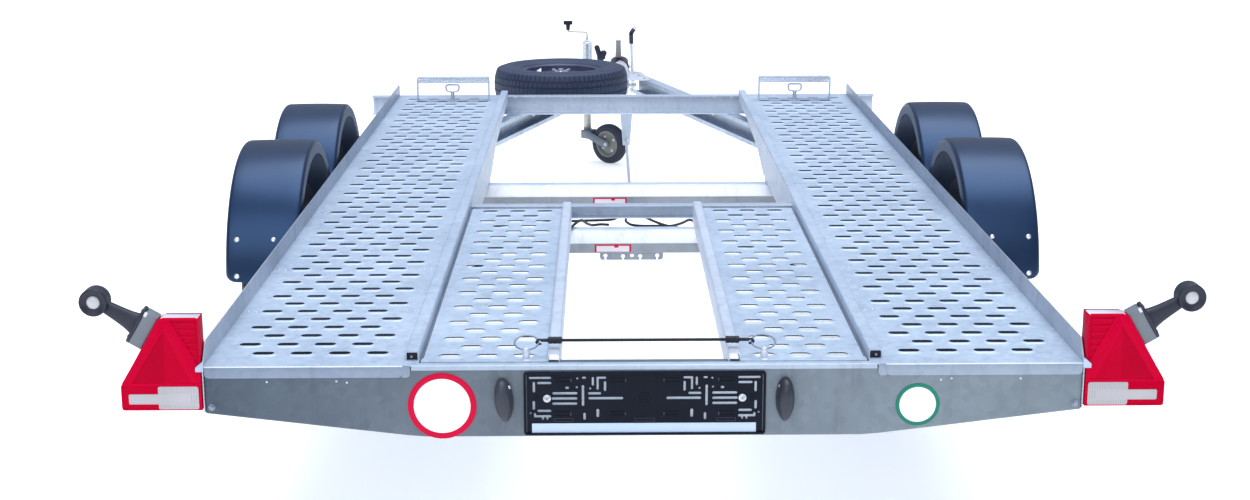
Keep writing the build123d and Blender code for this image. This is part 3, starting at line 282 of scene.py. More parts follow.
# darker red for the reflector's outer facet: painted shade
moulded("red_facet_painted_shade", (0.40, 0.0, 0.016), (0.47, 0.0, 0.022), rough=(0.22, 0.30), bump=0.0, coat=0.0, spec=0.03)
moulded("red_mid", (0.46, 0.0, 0.018), (0.53, 0.0, 0.026), rough=(0.22, 0.30), bump=0.0, coat=0.0, spec=0.03)
moulded("white_reed", (0.30, 0.30, 0.31), (0.36, 0.36, 0.37), rough=(0.2, 0.3), bump=0.0, coat=0.1, spec=0.3)
moulded("window_grey", (0.42, 0.40, 0.405), (0.50, 0.48, 0.485), rough=(0.2, 0.3), bump=0.0, coat=0.1, spec=0.25)
moulded("lens_grey", (0.50, 0.49, 0.50), (0.60, 0.58, 0.60), rough=(0.16, 0.24), bump=0.0, coat=0.3)
moulded("clear_strip", (0.66, 0.65, 0.74), (0.74, 0.73, 0.82), rough=(0.12, 0.18), bump=0.0, coat=0.5)
moulded("rubber_arm", (0.016, 0.018, 0.030), (0.026, 0.029, 0.046), rough=(0.36, 0.5), bump=0.25, spec=0.35)
moulded("buffer", (0.022, 0.026, 0.036), (0.040, 0.046, 0.060), rough=(0.36, 0.5), bump=0.2, spec=0.4)
moulded("plate_edge", (0.03, 0.035, 0.05), (0.05, 0.055, 0.07), rough=(0.35, 0.45), bump=0.1, spec=0.35)
moulded("white_lens", (0.72, 0.70, 0.71), (0.82, 0.80, 0.81), rough=(0.14, 0.2), bump=0.0, coat=0.5)
moulded("white_vinyl", (0.90, 0.92, 0.94), (0.96, 0.97, 0.98), rough=(0.28, 0.38), bump=0.02)
moulded("label_pink", (0.74, 0.68, 0.72), (0.82, 0.76, 0.80), rough=(0.28, 0.38), bump=0.02)
moulded("red_vinyl", (0.56, 0.0, 0.035), (0.64, 0.002, 0.045), rough=(0.3, 0.4), bump=0.02, spec=0.12)
moulded("green_vinyl", (0.0, 0.17, 0.10), (0.0, 0.21, 0.13), rough=(0.25, 0.35), bump=0.02, spec=0.35)
moulded("blue_strip", (0.50, 0.62, 0.84), (0.56, 0.68, 0.88), rough=(0.25, 0.35), bump=0.02)

BY_SLOT = {"galvanised": "galv_frame", "cast_steel": "cast_grey", "black_rubber": "rubber", "black_coat": "coat_black",
           "zinc": "zinc", "black_plastic": "guard", "red_lens": "red_lens", "tyre": "tyre", "rim": "rim", "drum": "drum"}
# the spare's rim takes a dark bluish copy in place of the rim colour: painted shade
BY_NODE = {"spare_rim": "spare_rim_painted_shade", "brake_cables": "rubber", "track_floor_left": "galv_deck", "track_floor_right": "galv_deck", "ramp_left": "galv_deck",
           "ramp_right": "galv_deck", "rear_beam": "galv_beam_painted_light", "rear_axle": "galv_tube", "front_axle": "galv_tube",
           "overrun_housing": "galv_tube", "jockey_fork": "fork_grey", "plate_holder": "plate_black",
           "jockey_clamp_handle": "grip_black", "coupling_handle": "zinc"}
SLOT = {x["node"]: x["material_slot"] for x in frame["record"]["subparts"]}
for name, o in frame["nodes"].items():
    mat = M[BY_NODE.get(name) or BY_SLOT[SLOT[name]]]
    if not o.data.materials:
        o.data.materials.append(mat)
    for i in range(len(o.material_slots)):
        o.material_slots[i].material = mat

# ---------------------------------------------------------------- stage
bpy.context.scene.view_settings.view_transform = "Standard"
world = bpy.data.worlds.new("world")
bpy.context.scene.world = world
world.use_nodes = True
nt = world.node_tree
nt.nodes.clear()
wo = nt.nodes.new("ShaderNodeOutputWorld")
bg = nt.nodes.new("ShaderNodeBackground")
nt.links.new(bg.outputs[0], wo.inputs[0])
tc = nt.nodes.new("ShaderNodeTexCoord")
sx = nt.nodes.new("ShaderNodeSeparateXYZ")
nt.links.new(tc.outputs["Generated"], sx.inputs[0])
wr = ramp(nt, sx.outputs["Z"], [(0.0, (0.34, 0.37, 0.42)), (0.30, (0.36, 0.40, 0.48)), (0.70, (0.48, 0.58, 0.80)), (1.0, (0.52, 0.68, 1.0))])
nt.links.new(wr.outputs["Color"], bg.inputs["Color"])
bg.inputs["Strength"].default_value = 1.0

fm, nt, p = new_mat("floor")
p.inputs["Base Color"].default_value = (0.82, 0.82, 0.82, 1)
p.inputs["Roughness"].default_value = 0.9
p.inputs["Emission Color"].default_value = (0.96, 0.98, 1.0, 1)
p.inputs["Emission Strength"].default_value = 0.48
fmesh = bpy.data.meshes.new("floor")
R = 60.0
fmesh.from_pydata([(-R, -R, 0), (R, -R, 0), (R, R, 0), (-R, R, 0)], [], [(0, 1, 2, 3)])
floor = bpy.data.objects.new("floor", fmesh)
fmesh.materials.append(fm)
bpy.context.scene.collection.objects.link(floor)
key = bpy.data.lights.new("key", "SUN")
key.energy = 2.2
key.angle = 0.9
key.color = (1.0, 0.985, 0.96)
ko = bpy.data.objects.new("key", key)
ko.rotation_euler = (math.radians(-8.0), math.radians(6.0), 0.0)
ko.location = (0.0, 0.0, 7.0)
bpy.context.scene.collection.objects.link(ko)
fill = bpy.data.lights.new("fill", "SUN")
fill.energy = 0.9
fill.angle = 0.7
fo_ = bpy.data.objects.new("fill", fill)
fo_.rotation_euler = (math.radians(52.0), 0.0, math.radians(-14.0))
fo_.location = (-1.0, -4.0, 4.0)
bpy.context.scene.collection.objects.link(fo_)
# ---------------------------------------------------------------- mesh tools
class Build:
    """Collects geometry in the row frame, in metres, and turns it into one object."""

    def __init__(self):
        self.v, self.f, self.m, self.s = [], [], [], []
        self.mats = []

    def mat(self, name):
        if name not in self.mats:
            self.mats.append(name)
        return self.mats.index(name)

    def add(self, verts, faces, mat, smooth=True):
        k = len(self.v)
        self.v.extend(tuple(float(x) for x in p) for p in verts)
        i = self.mat(mat)
        for f in faces:
            self.f.append(tuple(k + j for j in f))
            self.m.append(i)
            self.s.append(smooth)

    def object(self, name, body, sharp=35.0, replaces=()):
        me = bpy.data.meshes.new(name)
        me.from_pydata(self.v, [], self.f)
        for n in self.mats:
            me.materials.append(M[n])
        me.polygons.foreach_set("material_index", self.m)
        me.polygons.foreach_set("use_smooth", self.s)
        me.validate()
        me.update()
        if sharp:
            me.set_sharp_from_angle(angle=math.radians(sharp))
        o = bpy.data.objects.new(name, me)
        bpy.context.scene.collection.objects.link(o)
        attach(o, body)
        if replaces:
            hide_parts(*replaces)
        return o


def axes(z):
    """Two directions square to z."""
    z = Vector(z).normalized()
    x = Vector((1, 0, 0)) if abs(z.x) < 0.9 else Vector((0, 1, 0))
    x = (x - z * x.dot(z)).normalized()
    return x, z.cross(x), z


def lathe(b, origin, axis, profile, mat, seg=32, x=None, closed=False, smooth=True, arc=2 * math.pi, start=0.0, caps=True):
    """Turns (along, radius) points about axis."""
    ax, ay, az = axes(axis) if x is None else (Vector(x), Vector(axis).normalized().cross(Vector(x)), Vector(axis).normalized())
    o = Vector(origin)
    full = abs(arc - 2 * math.pi) < 1e-6
    n = seg if full else seg + 1
    V, F = [], []
    for i in range(n):
        t = start + arc * i / seg
        d = ax * math.cos(t) + ay * math.sin(t)
        V += [o + az * a + d * r for a, r in profile]
    k = len(profile)
    for i in range(seg):
        i2 = (i + 1) % n
        for j in range(k if closed else k - 1):
            j2 = (j + 1) % k
            q = (i * k + j, i2 * k + j, i2 * k + j2, i * k + j2)
            F.append(q)
    if full and not closed and caps:
        if profile[0][1] > 1e-6:
            F.append(tuple(i * k for i in range(n)))
        if profile[-1][1] > 1e-6:
            F.append(tuple(i * k + k - 1 for i in reversed(range(n))))
    b.add(V, F, mat, smooth)


def rounded(x0, z0, x1, z1, r, n=5):
    """Rectangle with rounded corners, anticlockwise."""
    pts = []
    for cx_, cz_, a in ((x1 - r, z0 + r, -90), (x1 - r, z1 - r, 0), (x0 + r, z1 - r, 90), (x0 + r, z0 + r, 180)):
        for i in range(n + 1):
            t = math.radians(a + 90.0 * i / n)
            pts.append((cx_ + r * math.cos(t), cz_ + r * math.sin(t)))
    return pts


def round_poly(pts, radii, n=4):
    """Polygon with each corner rounded by its own radius."""
    out = []
    k = len(pts)
    if not hasattr(radii, "__len__"):
        radii = [radii] * k
    for i in range(k):
        p = Vector(pts[i]).to_2d() if len(pts[i]) > 2 else Vector(pts[i])
        a, c_ = Vector(pts[i - 1]), Vector(pts[(i + 1) % k])
        r = radii[i]
        if r <= 0:
            out.append((p.x, p.y))
            continue
        u, w = (a - p).normalized(), (c_ - p).normalized()
        ang = math.acos(max(-1, min(1, u.dot(w))))
        d = min(r / math.tan(ang / 2), (a - p).length * 0.49, (c_ - p).length * 0.49)
        p1, p2 = p + u * d, p + w * d
        for j in range(n + 1):
            t = j / n
            q = p1 * (1 - t) ** 2 + p * 2 * t * (1 - t) + p2 * t ** 2
            out.append((q.x, q.y))
    return out


def inset(pts, d):
    """Moves an anticlockwise outline inwards by d (outwards if d is negative)."""
    k = len(pts)
    out = []
    for i in range(k):
        a, p, c_ = Vector(pts[i - 1]), Vector(pts[i]), Vector(pts[(i + 1) % k])
        e1, e2 = (p - a), (c_ - p)
        if e1.length < 1e-9:
            e1 = e2
        if e2.length < 1e-9:
            e2 = e1
        e1.normalize(), e2.normalize()
        n1, n2 = Vector((-e1.y, e1.x)), Vector((-e2.y, e2.x))
        nn = n1 + n2
        if nn.length < 1e-6:
            nn = n1
        nn.normalize()
        out.append(tuple(p + nn * (d / max(0.4, nn.dot(n1)))))
    return out


def slab(b, outline, place, t0, t1, mat, edge=0.0, steps=2, both=True, back=True, smooth=True, side_mat=None):
    """Plate of an anticlockwise outline from height t0 to t1, its edges at t1 (and t0 if both) rounded by edge.
    place(u, v, w) maps the outline's plane and height to the row frame."""
    rings = []
    if edge > 0:
        if both:
            for i in range(steps + 1):
                a = math.pi / 2 * i / steps
                rings.append((edge * (1 - math.sin(a)), t0 + edge * (1 - math.cos(a))))
        else:
            rings.append((0.0, t0))
        for i in range(steps + 1):
            a = math.pi / 2 * i / steps
            rings.append((edge * (1 - math.cos(a)), t1 - edge * (1 - math.sin(a))))
    else:
        rings = [(0.0, t0), (0.0, t1)]
    k = len(outline)
    V, F = [], []
    for d, h_ in rings:
        V += [place(u, v, h_) for u, v in (inset(outline, d) if d > 1e-9 else outline)]
    for i in range(len(rings) - 1):
        for j in range(k):
            j2 = (j + 1) % k
            F.append((i * k + j, i * k + j2, (i + 1) * k + j2, (i + 1) * k + j))
    top = tuple((len(rings) - 1) * k + j for j in range(k))
    bot = tuple(reversed(range(k)))
    # winding: face normals outwards whatever place() does
    o, x, y, z = Vector(place(0, 0, 0)), Vector(place(1, 0, 0)), Vector(place(0, 1, 0)), Vector(place(0, 0, 1))
    flip = (x - o).cross(y - o).dot(z - o) < 0
    F.append(top)
    if back:
        F.append(bot)
    if flip:
        F = [tuple(reversed(f)) for f in F]
    b.add(V, F, mat, smooth)


def plane_xz(y, sign=-1.0):
    """Outline in X and Z, height measured along sign * Y from y."""
    return lambda u, v, w: (u, y + sign * w, v)


def plane_yz(x, sign=1.0):
    return lambda u, v, w: (x + sign * w, u, v)


def plane_xy(z, sign=1.0):
    return lambda u, v, w: (u, v, z + sign * w)


def frame_place(origin, z, x=None):
    ax, ay, az = axes(z)
    if x is not None:
        az = Vector(z).normalized()
        ax = (Vector(x) - az * Vector(x).dot(az)).normalized()
        ay = az.cross(ax)
    o = Vector(origin)
    return lambda u, v, w: tuple(o + ax * u + ay * v + az * w)


def bolt(b, pos, axis, r=0.0065, h=0.005, washer=True, mat="zinc", turn=0.3, nut=False):
    """Hexagon head with a chamfered top on a washer."""
    pl = frame_place(pos, axis)
    z0 = 0.0
    if washer:
        slab(b, [(1.7 * r * math.cos(t), 1.7 * r * math.sin(t)) for t in np.linspace(0, 2 * math.pi, 21)[:-1]], pl, 0.0, 0.0016, mat, edge=0.0004, steps=1, both=False)
        z0 = 0.0016
    hexa = [(r / 0.866 * math.cos(turn + math.pi / 3 * i), r / 0.866 * math.sin(turn + math.pi / 3 * i)) for i in range(6)]
    slab(b, hexa, pl, z0, z0 + h, mat, edge=min(0.0012, h * 0.3), steps=1, both=False, smooth=False)
    if nut:
        slab(b, [(0.55 * r * math.cos(t), 0.55 * r * math.sin(t)) for t in np.linspace(0, 2 * math.pi, 13)[:-1]], pl, z0 + h - 0.0005, z0 + h + 0.006, mat, edge=0.001, steps=1, both=False)


def dome(b, pos, axis, r, h, mat="zinc", seg=16, flange=0.0):
    """Round head, such as a coach bolt's or a rivet's."""
    prof = []
    if flange:
        prof += [(0.0, flange), (0.0009, flange), (0.0011, flange * 0.97)]
    prof += [(h * math.sin(a), max(1e-5, r * math.cos(a))) for a in np.linspace(0.0, math.pi / 2, 6)]
    lathe(b, pos, axis, prof, mat, seg)


def tube(b, path, r, mat, seg=12, caps=True, radii=None):
    """Round bar along a list of points."""
    P = [Vector(p) for p in path]
    n = len(P)
    T = []
    for i in range(n):
        t = (P[min(i + 1, n - 1)] - P[max(i - 1, 0)]).normalized()
        T.append(t)
    x, y, _ = axes(T[0])
    V, F = [], []
    for i in range(n):
        x = (x - T[i] * x.dot(T[i])).normalized()
        y = T[i].cross(x)
        rr = radii[i] if radii else r
        V += [P[i] + (x * math.cos(2 * math.pi * j / seg) + y * math.sin(2 * math.pi * j / seg)) * rr for j in range(seg)]
    for i in range(n - 1):
        for j in range(seg):
            j2 = (j + 1) % seg
            F.append((i * seg + j, i * seg + j2, (i + 1) * seg + j2, (i + 1) * seg + j))
    if caps:
        F.append(tuple(reversed(range(seg))))
        F.append(tuple((n - 1) * seg + j for j in range(seg)))
    b.add(V, F, mat)


def arc_path(points, radius, n=6):
    """Polyline in 3-D with its corners rounded."""
    P = [Vector(p) for p in points]
    out = [P[0]]
    for i in range(1, len(P) - 1):
        p, u, w = P[i], (P[i - 1] - P[i]).normalized(), (P[i + 1] - P[i]).normalized()
        ang = u.angle(w)
        d = min(radius / math.tan(ang / 2), (P[i - 1] - p).length * 0.49, (P[i + 1] - p).length * 0.49)
        p1, p2 = p + u * d, p + w * d
        for j in range(n + 1):
            t = j / n
            out.append(p1 * (1 - t) ** 2 + p * 2 * t * (1 - t) + p2 * t ** 2)
    out.append(P[-1])
    return out


def torus(b, centre, axis, R_, r_, mat, seg=36, sub=10, arc=2 * math.pi, start=0.0):
    ax, ay, az = axes(axis)
    o = Vector(centre)
    V, F = [], []
    full = abs(arc - 2 * math.pi) < 1e-6
    n = seg if full else seg + 1
    for i in range(n):
        t = start + arc * i / seg
        d = ax * math.cos(t) + ay * math.sin(t)
        for j in range(sub):
            a = 2 * math.pi * j / sub
            V.append(o + d * (R_ + r_ * math.cos(a)) + az * r_ * math.sin(a))
    for i in range(seg):
        i2 = (i + 1) % n
        for j in range(sub):
            j2 = (j + 1) % sub
            F.append((i * sub + j, i2 * sub + j, i2 * sub + j2, i * sub + j2))
    b.add(V, F, mat)


def slot_ring(cx_, cy_, l, w, n=24):
    """Points round a slot whose long side is along X, anticlockwise."""
    r = w / 2
    d = l / 2 - r
    pts = []
    h_ = n // 2
    for i in range(h_):
        t = -math.pi / 2 + math.pi * i / (h_ - 1)
        pts.append((cx_ + d + r * math.cos(t), cy_ + r * math.sin(t)))
    for i in range(h_):
        t = math.pi / 2 + math.pi * i / (h_ - 1)
        pts.append((cx_ - d + r * math.cos(t), cy_ + r * math.sin(t)))
    return pts


def pierced_sheet(b, outline, slots, l, w, z, thick, mat, lips=((0.0, 0.0030), (0.0012, 0.0034), (0.0040, 0.0027), (0.0070, 0.0011), (0.0095, 0.0002), (0.0120, 0.0)), extra=(), n=24, wall="slot_wall_painted_shade", skirt=0.0, rim="galv_rail", under=0.0):
    """Sheet with slots whose rims are pressed up. outline is anticlockwise in X and Y. extra are plain round or slotted holes: lists of points."""
    verts, edges = [], []

    def loop(pts):
        k = len(verts)
        verts.extend(Vector(p) for p in pts)
        edges.extend((k + i, k + (i + 1) % len(pts)) for i in range(len(pts)))

    loop(outline)
    off = lips[-1][0]
    for cx_, cy_ in slots:
        loop(slot_ring(cx_, cy_, l + 2 * off, w + 2 * off, n))
    for e in extra:
        loop(e)
    cv, ce, cf, *_ = geometry.delaunay_2d_cdt(verts, edges, [], 1, 1e-6)
    cv = np.array([tuple(p) for p in cv])
    S = np.array(slots)
    cent = np.array([cv[list(f)].mean(0) for f in cf])
    inside = np.zeros(len(cf), bool)
    R_ = w / 2 + off
    d = l / 2 - w / 2
    for cx_, cy_ in S:
        dx = np.maximum(np.abs(cent[:, 0] - cx_) - d, 0)
        inside |= (dx ** 2 + (cent[:, 1] - cy_) ** 2) < (R_ * 0.995) ** 2
    for e in extra:
        e = np.array(e)
        c_, rr = e.mean(0), np.abs(e - e.mean(0)).max()
        inside |= ((cent - c_) ** 2).sum(1) < (rr * 0.98) ** 2
    F = []
    for f, i in zip(cf, inside):
        if i:
            continue
        a, b_, c_ = (cv[j] for j in f[:3])
        if (b_[0] - a[0]) * (c_[1] - a[1]) - (b_[1] - a[1]) * (c_[0] - a[0]) < 0:
            f = tuple(reversed(f))
        F.append(tuple(f))
    b.add([(x, y, z) for x, y in cv], F, mat)
    for cx_, cy_ in slots:
        V, G = [], []
        rings = [slot_ring(cx_, cy_, l + 2 * o_, w + 2 * o_, n) for o_, _ in lips]
        for (o_, h_), ring in zip(lips, rings):
            V += [(x, y, z + h_) for x, y in ring]
        k = n
        for i in range(len(lips) - 1):
            for j in range(k):
                j2 = (j + 1) % k
                G.append((i * k + j, (i + 1) * k + j, (i + 1) * k + j2, i * k + j2))
        b.add(V, G, mat)
        # inner wall, in a near-black copy of the zinc: painted shade
        ring = rings[0]
        V = [(x, y, z + lips[0][1]) for x, y in ring] + [(x, y, z - thick - skirt) for x, y in ring]
        b.add(V, [(j, (j + 1) % k, k + (j + 1) % k, k + j) for j in range(k)], wall)
    # underside
    verts, edges = [], []
    loop(outline)
    for cx_, cy_ in slots:
        loop(slot_ring(cx_, cy_, l + under, w + under, n))
    for e in extra:
        loop(e)
    cv, ce, cf, *_ = geometry.delaunay_2d_cdt(verts, edges, [], 1, 1e-6)
    cv = np.array([tuple(p) for p in cv])
    cent = np.array([cv[list(f)].mean(0) for f in cf])
    inside = np.zeros(len(cf), bool)
    for cx_, cy_ in S:
        dx = np.maximum(np.abs(cent[:, 0] - cx_) - d, 0)
        inside |= (dx ** 2 + (cent[:, 1] - cy_) ** 2) < ((w + under) / 2 * 0.99) ** 2
    for e in extra:
        e = np.array(e)
        c_, rr = e.mean(0), np.abs(e - e.mean(0)).max()
        inside |= ((cent - c_) ** 2).sum(1) < (rr * 0.98) ** 2
    F = []
    for f, i in zip(cf, inside):
        if i:
            continue
        a, b_, c_ = (cv[j] for j in f[:3])
        if (b_[0] - a[0]) * (c_[1] - a[1]) - (b_[1] - a[1]) * (c_[0] - a[0]) > 0:
            f = tuple(reversed(f))
        F.append(tuple(f))
    b.add([(x, y, z - thick) for x, y in cv], F, mat)
    for e in (list(extra)):
        k = len(e)
        b.add([(x, y, z) for x, y in e] + [(x, y, z - thick) for x, y in e], [(j, (j + 1) % k, k + (j + 1) % k, k + j) for j in range(k)], mat)
    k = len(outline)
    b.add([(x, y, z) for x, y in outline] + [(x, y, z - thick) for x, y in outline], [((j + 1) % k, j, k + j, k + (j + 1) % k) for j in range(k)], mat)


def circle(cx_, cy_, r, n=20):
    return [(cx_ + r * math.cos(2 * math.pi * i / n), cy_ + r * math.sin(2 * math.pi * i / n)) for i in range(n)]


def bent(b, section, path, mat, closed=False, smooth=True, caps=True):
    """Carries a 2-D section, in the plane square to the path given by (point, x direction, y direction), along the path."""
    k = len(section)
    V, F = [], []
    for o, x, y in path:
        o, x, y = Vector(o), Vector(x), Vector(y)
        V += [o + x * u + y * v for u, v in section]
    n = len(path)
    for i in range(n if closed else n - 1):
        i2 = (i + 1) % n
        for j in range(k):
            j2 = (j + 1) % k
            F.append((i * k + j, i * k + j2, i2 * k + j2, i2 * k + j))
    if caps and not closed:
        F.append(tuple(reversed(range(k))))
        F.append(tuple((n - 1) * k + j for j in range(k)))
    b.add(V, F, mat, smooth)


def pierced_panel(b, outline, holes, place, t0, t1, mat):
    """Flat panel with through holes of any shape; outline and holes are anticlockwise in the panel's plane."""
    verts, edges = [], []
    for pts in [outline] + holes:
        k0 = len(verts)
        verts.extend(Vector(p) for p in pts)
        edges.extend((k0 + i, k0 + (i + 1) % len(pts)) for i in range(len(pts)))
    cv, ce, cf, *_ = geometry.delaunay_2d_cdt(verts, edges, [], 1, 1e-7)
    cv = np.array([tuple(p) for p in cv])
    keep = []
    H = [np.array(h_) for h_ in holes]
    bb = [(h_.min(0), h_.max(0)) for h_ in H]
    for f in cf:
        c_ = cv[list(f)].mean(0)
        inside = False
        for h_, (lo_, hi_) in zip(H, bb):
            if (c_ < lo_).any() or (c_ > hi_).any():
                continue
            x, y = c_
            xs, ys = h_[:, 0], h_[:, 1]
            x2, y2 = np.roll(xs, -1), np.roll(ys, -1)
            cond = (ys > y) != (y2 > y)
            with np.errstate(divide="ignore", invalid="ignore"):
                xi = xs + (y - ys) * (x2 - xs) / (y2 - ys)
            if (cond & (x < xi)).sum() % 2:
                inside = True
                break
        if inside:
            continue
        a, b_, c3 = (cv[j] for j in f[:3])
        if (b_[0] - a[0]) * (c3[1] - a[1]) - (b_[1] - a[1]) * (c3[0] - a[0]) < 0:
            f = list(reversed(f))
        keep.append(tuple(f))
    o, x, y, z = Vector(place(0, 0, 0)), Vector(place(1, 0, 0)), Vector(place(0, 1, 0)), Vector(place(0, 0, 1))
    flip = (x - o).cross(y - o).dot(z - o) < 0
    top = [place(p[0], p[1], t1) for p in cv]
    bot = [place(p[0], p[1], t0) for p in cv]
    b.add(top, [tuple(reversed(f)) if flip else f for f in keep], mat)
    b.add(bot, [f if flip else tuple(reversed(f)) for f in keep], mat)
    for pts, inner_ in [(outline, False)] + [(h_, True) for h_ in holes]:
        k_ = len(pts)
        area = sum(pts[i][0] * pts[(i + 1) % k_][1] - pts[(i + 1) % k_][0] * pts[i][1] for i in range(k_))
        V = [place(p[0], p[1], t0) for p in pts] + [place(p[0], p[1], t1) for p in pts]
        F = [(i, (i + 1) % k_, k_ + (i + 1) % k_, k_ + i) for i in range(k_)]
        if (area > 0) == inner_:
            F = [tuple(reversed(f)) for f in F]
        if flip:
            F = [tuple(reversed(f)) for f in F]
        b.add(V, F, mat)


# ---------------------------------------------------------------- track floors and ramps
row_first, row_pitch = 91.5, 71.2
SHEET = 0.0025
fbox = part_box("track_floor_right")
for side, sname in ((1.0, "right"), (-1.0, "left")):
    lo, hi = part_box("track_floor_" + sname)
    xa, xb = min(abs(lo.x), abs(hi.x)), max(abs(lo.x), abs(hi.x))
    slots = []
    for row in range(54):
        xs = (0.597, 0.682, 0.7675, 0.853) if row % 2 == 0 else (0.6395, 0.725, 0.810, 0.8955)
        slots += [(side * x, Y(row_first + row * row_pitch)) for x in xs]
    b = Build()
    x0, x1 = sorted((side * xa, side * xb))
    ys, ye = Y(-0.4), hi.y
    pierced_sheet(b, [(x0, ys), (x1, ys), (x1, ye), (x0, ye)], slots, 0.0485, 0.0225, DZ, SHEET, "galv_deck", skirt=0.0025)
    # rounded fold down over the rear beam, with rounded lower corners; its bend is in a lighter zinc (painted
    # highlight) and its face in a darker zinc that is lighter to the right (painted shade and light)
    x0, x1 = side * 0.750 - 0.217, side * 0.750 + 0.217
    sec = []
    for i in range(7):
        a = math.pi / 2 * i / 6
        sec.append((-0.0025 * math.sin(a), -0.0025 * (1 - math.cos(a))))
    n = len(sec)
    V, F = [], []
    for x in (x0, x1):
        V += [(x, ys + u, DZ + v) for u, v in sec]
    F += [(i, i + 1, n + i + 1, n + i) for i in range(n - 1)]
    F = [tuple(reversed(f)) for f in F]
    b.add(V, F, "galv_rib_painted_highlight")
    out = round_poly([(x0, Z(-27)), (x1, Z(-27)), (x1, Z(-2.5)), (x0, Z(-2.5))], [0.012, 0.012, 0.0, 0.0], 5)
    slab(b, out, plane_xz(ys - 0.0004), 0.0, 0.0021, "fold_lip_painted_light", edge=0.0008, steps=2, both=False)
    # countersunk screws in pairs along the edges
    for v in (450, 875, 1230, 1585, 1940, 2295, 2650, 3005, 3360, 3715):
        for x in (0.5575, 0.944):
            for dx in (-0.008, 0.010):
                dome(b, (side * (x + dx), Y(v + 4 * (dx > 0)), DZ), (0, 0, 1), 0.0042, 0.0016, "galv_rail", 10, flange=0.0052)
    # the sheet is in two lengths, butted under the guards
    yj = Y(2020)
    slab(b, [(side * 0.5305, yj - 0.0006), (side * 0.968, yj - 0.0006), (side * 0.968, yj + 0.0006), (side * 0.5305, yj + 0.0006)][:: 1 if side > 0 else -1], plane_xy(DZ), -0.0004, 0.0006, "galv_frame")
    b.object("floor_sheet_" + sname, "chassis", sharp=50, replaces=["track_floor_" + sname])

for side, sname, pin_x in ((1.0, "right", 0.267), (-1.0, "left", -0.262)):
    lo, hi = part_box("ramp_" + sname)
    xa, xb = min(abs(lo.x), abs(hi.x)), max(abs(lo.x), abs(hi.x))
    slots = []
    for row in range(23):
        xs = (0.269, 0.351, 0.435) if row % 2 == 0 else (0.310, 0.392)
        slots += [(side * x, Y(78.5 + row * 69.6)) for x in xs]
    near = [p for p in slots if not (abs(p[0] - pin_x) < 0.045 and abs(p[1] - Y(46)) < 0.022)]
    b = Build()
    lipw = 0.027
    x0, x1 = sorted((side * (xa + lipw), side * xb))
    out = [(x0, lo.y), (x1, lo.y), (x1, hi.y), (x0, hi.y)]
    RZ = DZ - 0.003
    pierced_sheet(b, out, near, 0.0470, 0.0262, RZ, SHEET, "galv_deck", lips=((0.0, 0.0021), (0.0010, 0.0027), (0.0030, 0.0027), (0.0055, 0.0018), (0.0085, 0.0004), (0.0110, 0.0)), skirt=-0.0026, under=0.012, extra=[circle(pin_x, Y(46), 0.0085, 16)])
    # folded hem at the near end, flush with the sill, pierced for the pin
    hem = rounded(x0, lo.y, x1, Y(51.5), 0.0008, 2)
    pierced_panel(b, hem, [circle(pin_x, Y(46), 0.0105, 20)], plane_xy(RZ), -0.0002, 0.0027, "galv_deck")
    # raised edge towards the middle: a folded box rib with soft corners, in a lighter copy of the deck zinc: painted
    # highlight
    rib = [(xa + lipw, -0.0030), (xa + lipw, 0.0135), (xa + lipw - 0.0015, 0.0165), (xa + lipw - 0.0045, 0.018), (xa + 0.0045, 0.018),
           (xa + 0.0015, 0.0165), (xa, 0.0135), (xa, -0.0455), (xa + 0.0025, -0.0455), (xa + 0.0025, 0.0125), (xa + 0.0055, 0.0155),
           (xa + lipw - 0.0055, 0.0155), (xa + lipw - 0.0025, 0.0125), (xa + lipw - 0.0025, -0.0055), (xa + lipw, -0.0055)]
    path = [((0, lo.y, DZ), (side, 0, 0), (0, 0, 1)), ((0, hi.y, DZ), (side, 0, 0), (0, 0, 1))]
    if side < 0:
        path.reverse()
    bent(b, rib[::-1], path, "galv_rib_painted_highlight", smooth=True)
    # outer web under the sheet, with a rounded fold, in the same lighter copy: painted light
    web = [(xb, -0.0038), (xb - 0.0008, -0.0030), (xb - 0.0025, -0.0030), (xb - 0.0025, -0.0455), (xb, -0.0455)]
    bent(b, web, [((0, lo.y + 0.039, DZ), (side, 0, 0), (0, 0, 1)), ((0, hi.y, DZ), (side, 0, 0), (0, 0, 1))][:: 1 if side < 0 else -1], "galv_rib_painted_highlight", smooth=False)
    # the ramps' end stops are not drawn
    b.object("ramp_sheet_" + sname, "ramps", sharp=50, replaces=["ramp_" + sname])
# ---------------------------------------------------------------- road tyres, rims and hubs
def P(x, y, z):
    """Millimetres of the design (from the deck's rear edge and top) to the row frame."""
    return (x / 1000.0, Y(y), Z(z))


def spline_pts(p, q, r, n):
    """Smooth curve through three points (offset, radius)."""
    out = []
    for i in range(n + 1):
        t = i / n
        a = (1 - t) ** 2
        # quadratic through q at t = 0.5
        cx_, cy_ = 2 * q[0] - (p[0] + r[0]) / 2, 2 * q[1] - (p[1] + r[1]) / 2
        out.append((a * p[0] + 2 * t * (1 - t) * cx_ + t * t * r[0], a * p[1] + 2 * t * (1 - t) * cy_ + t * t * r[1]))
    return out


def tread_radius(o, rad):
    """Crown of the tread at a sideways offset."""
    return rad - 12.0 * (abs(o) / 66.0) ** 2.3


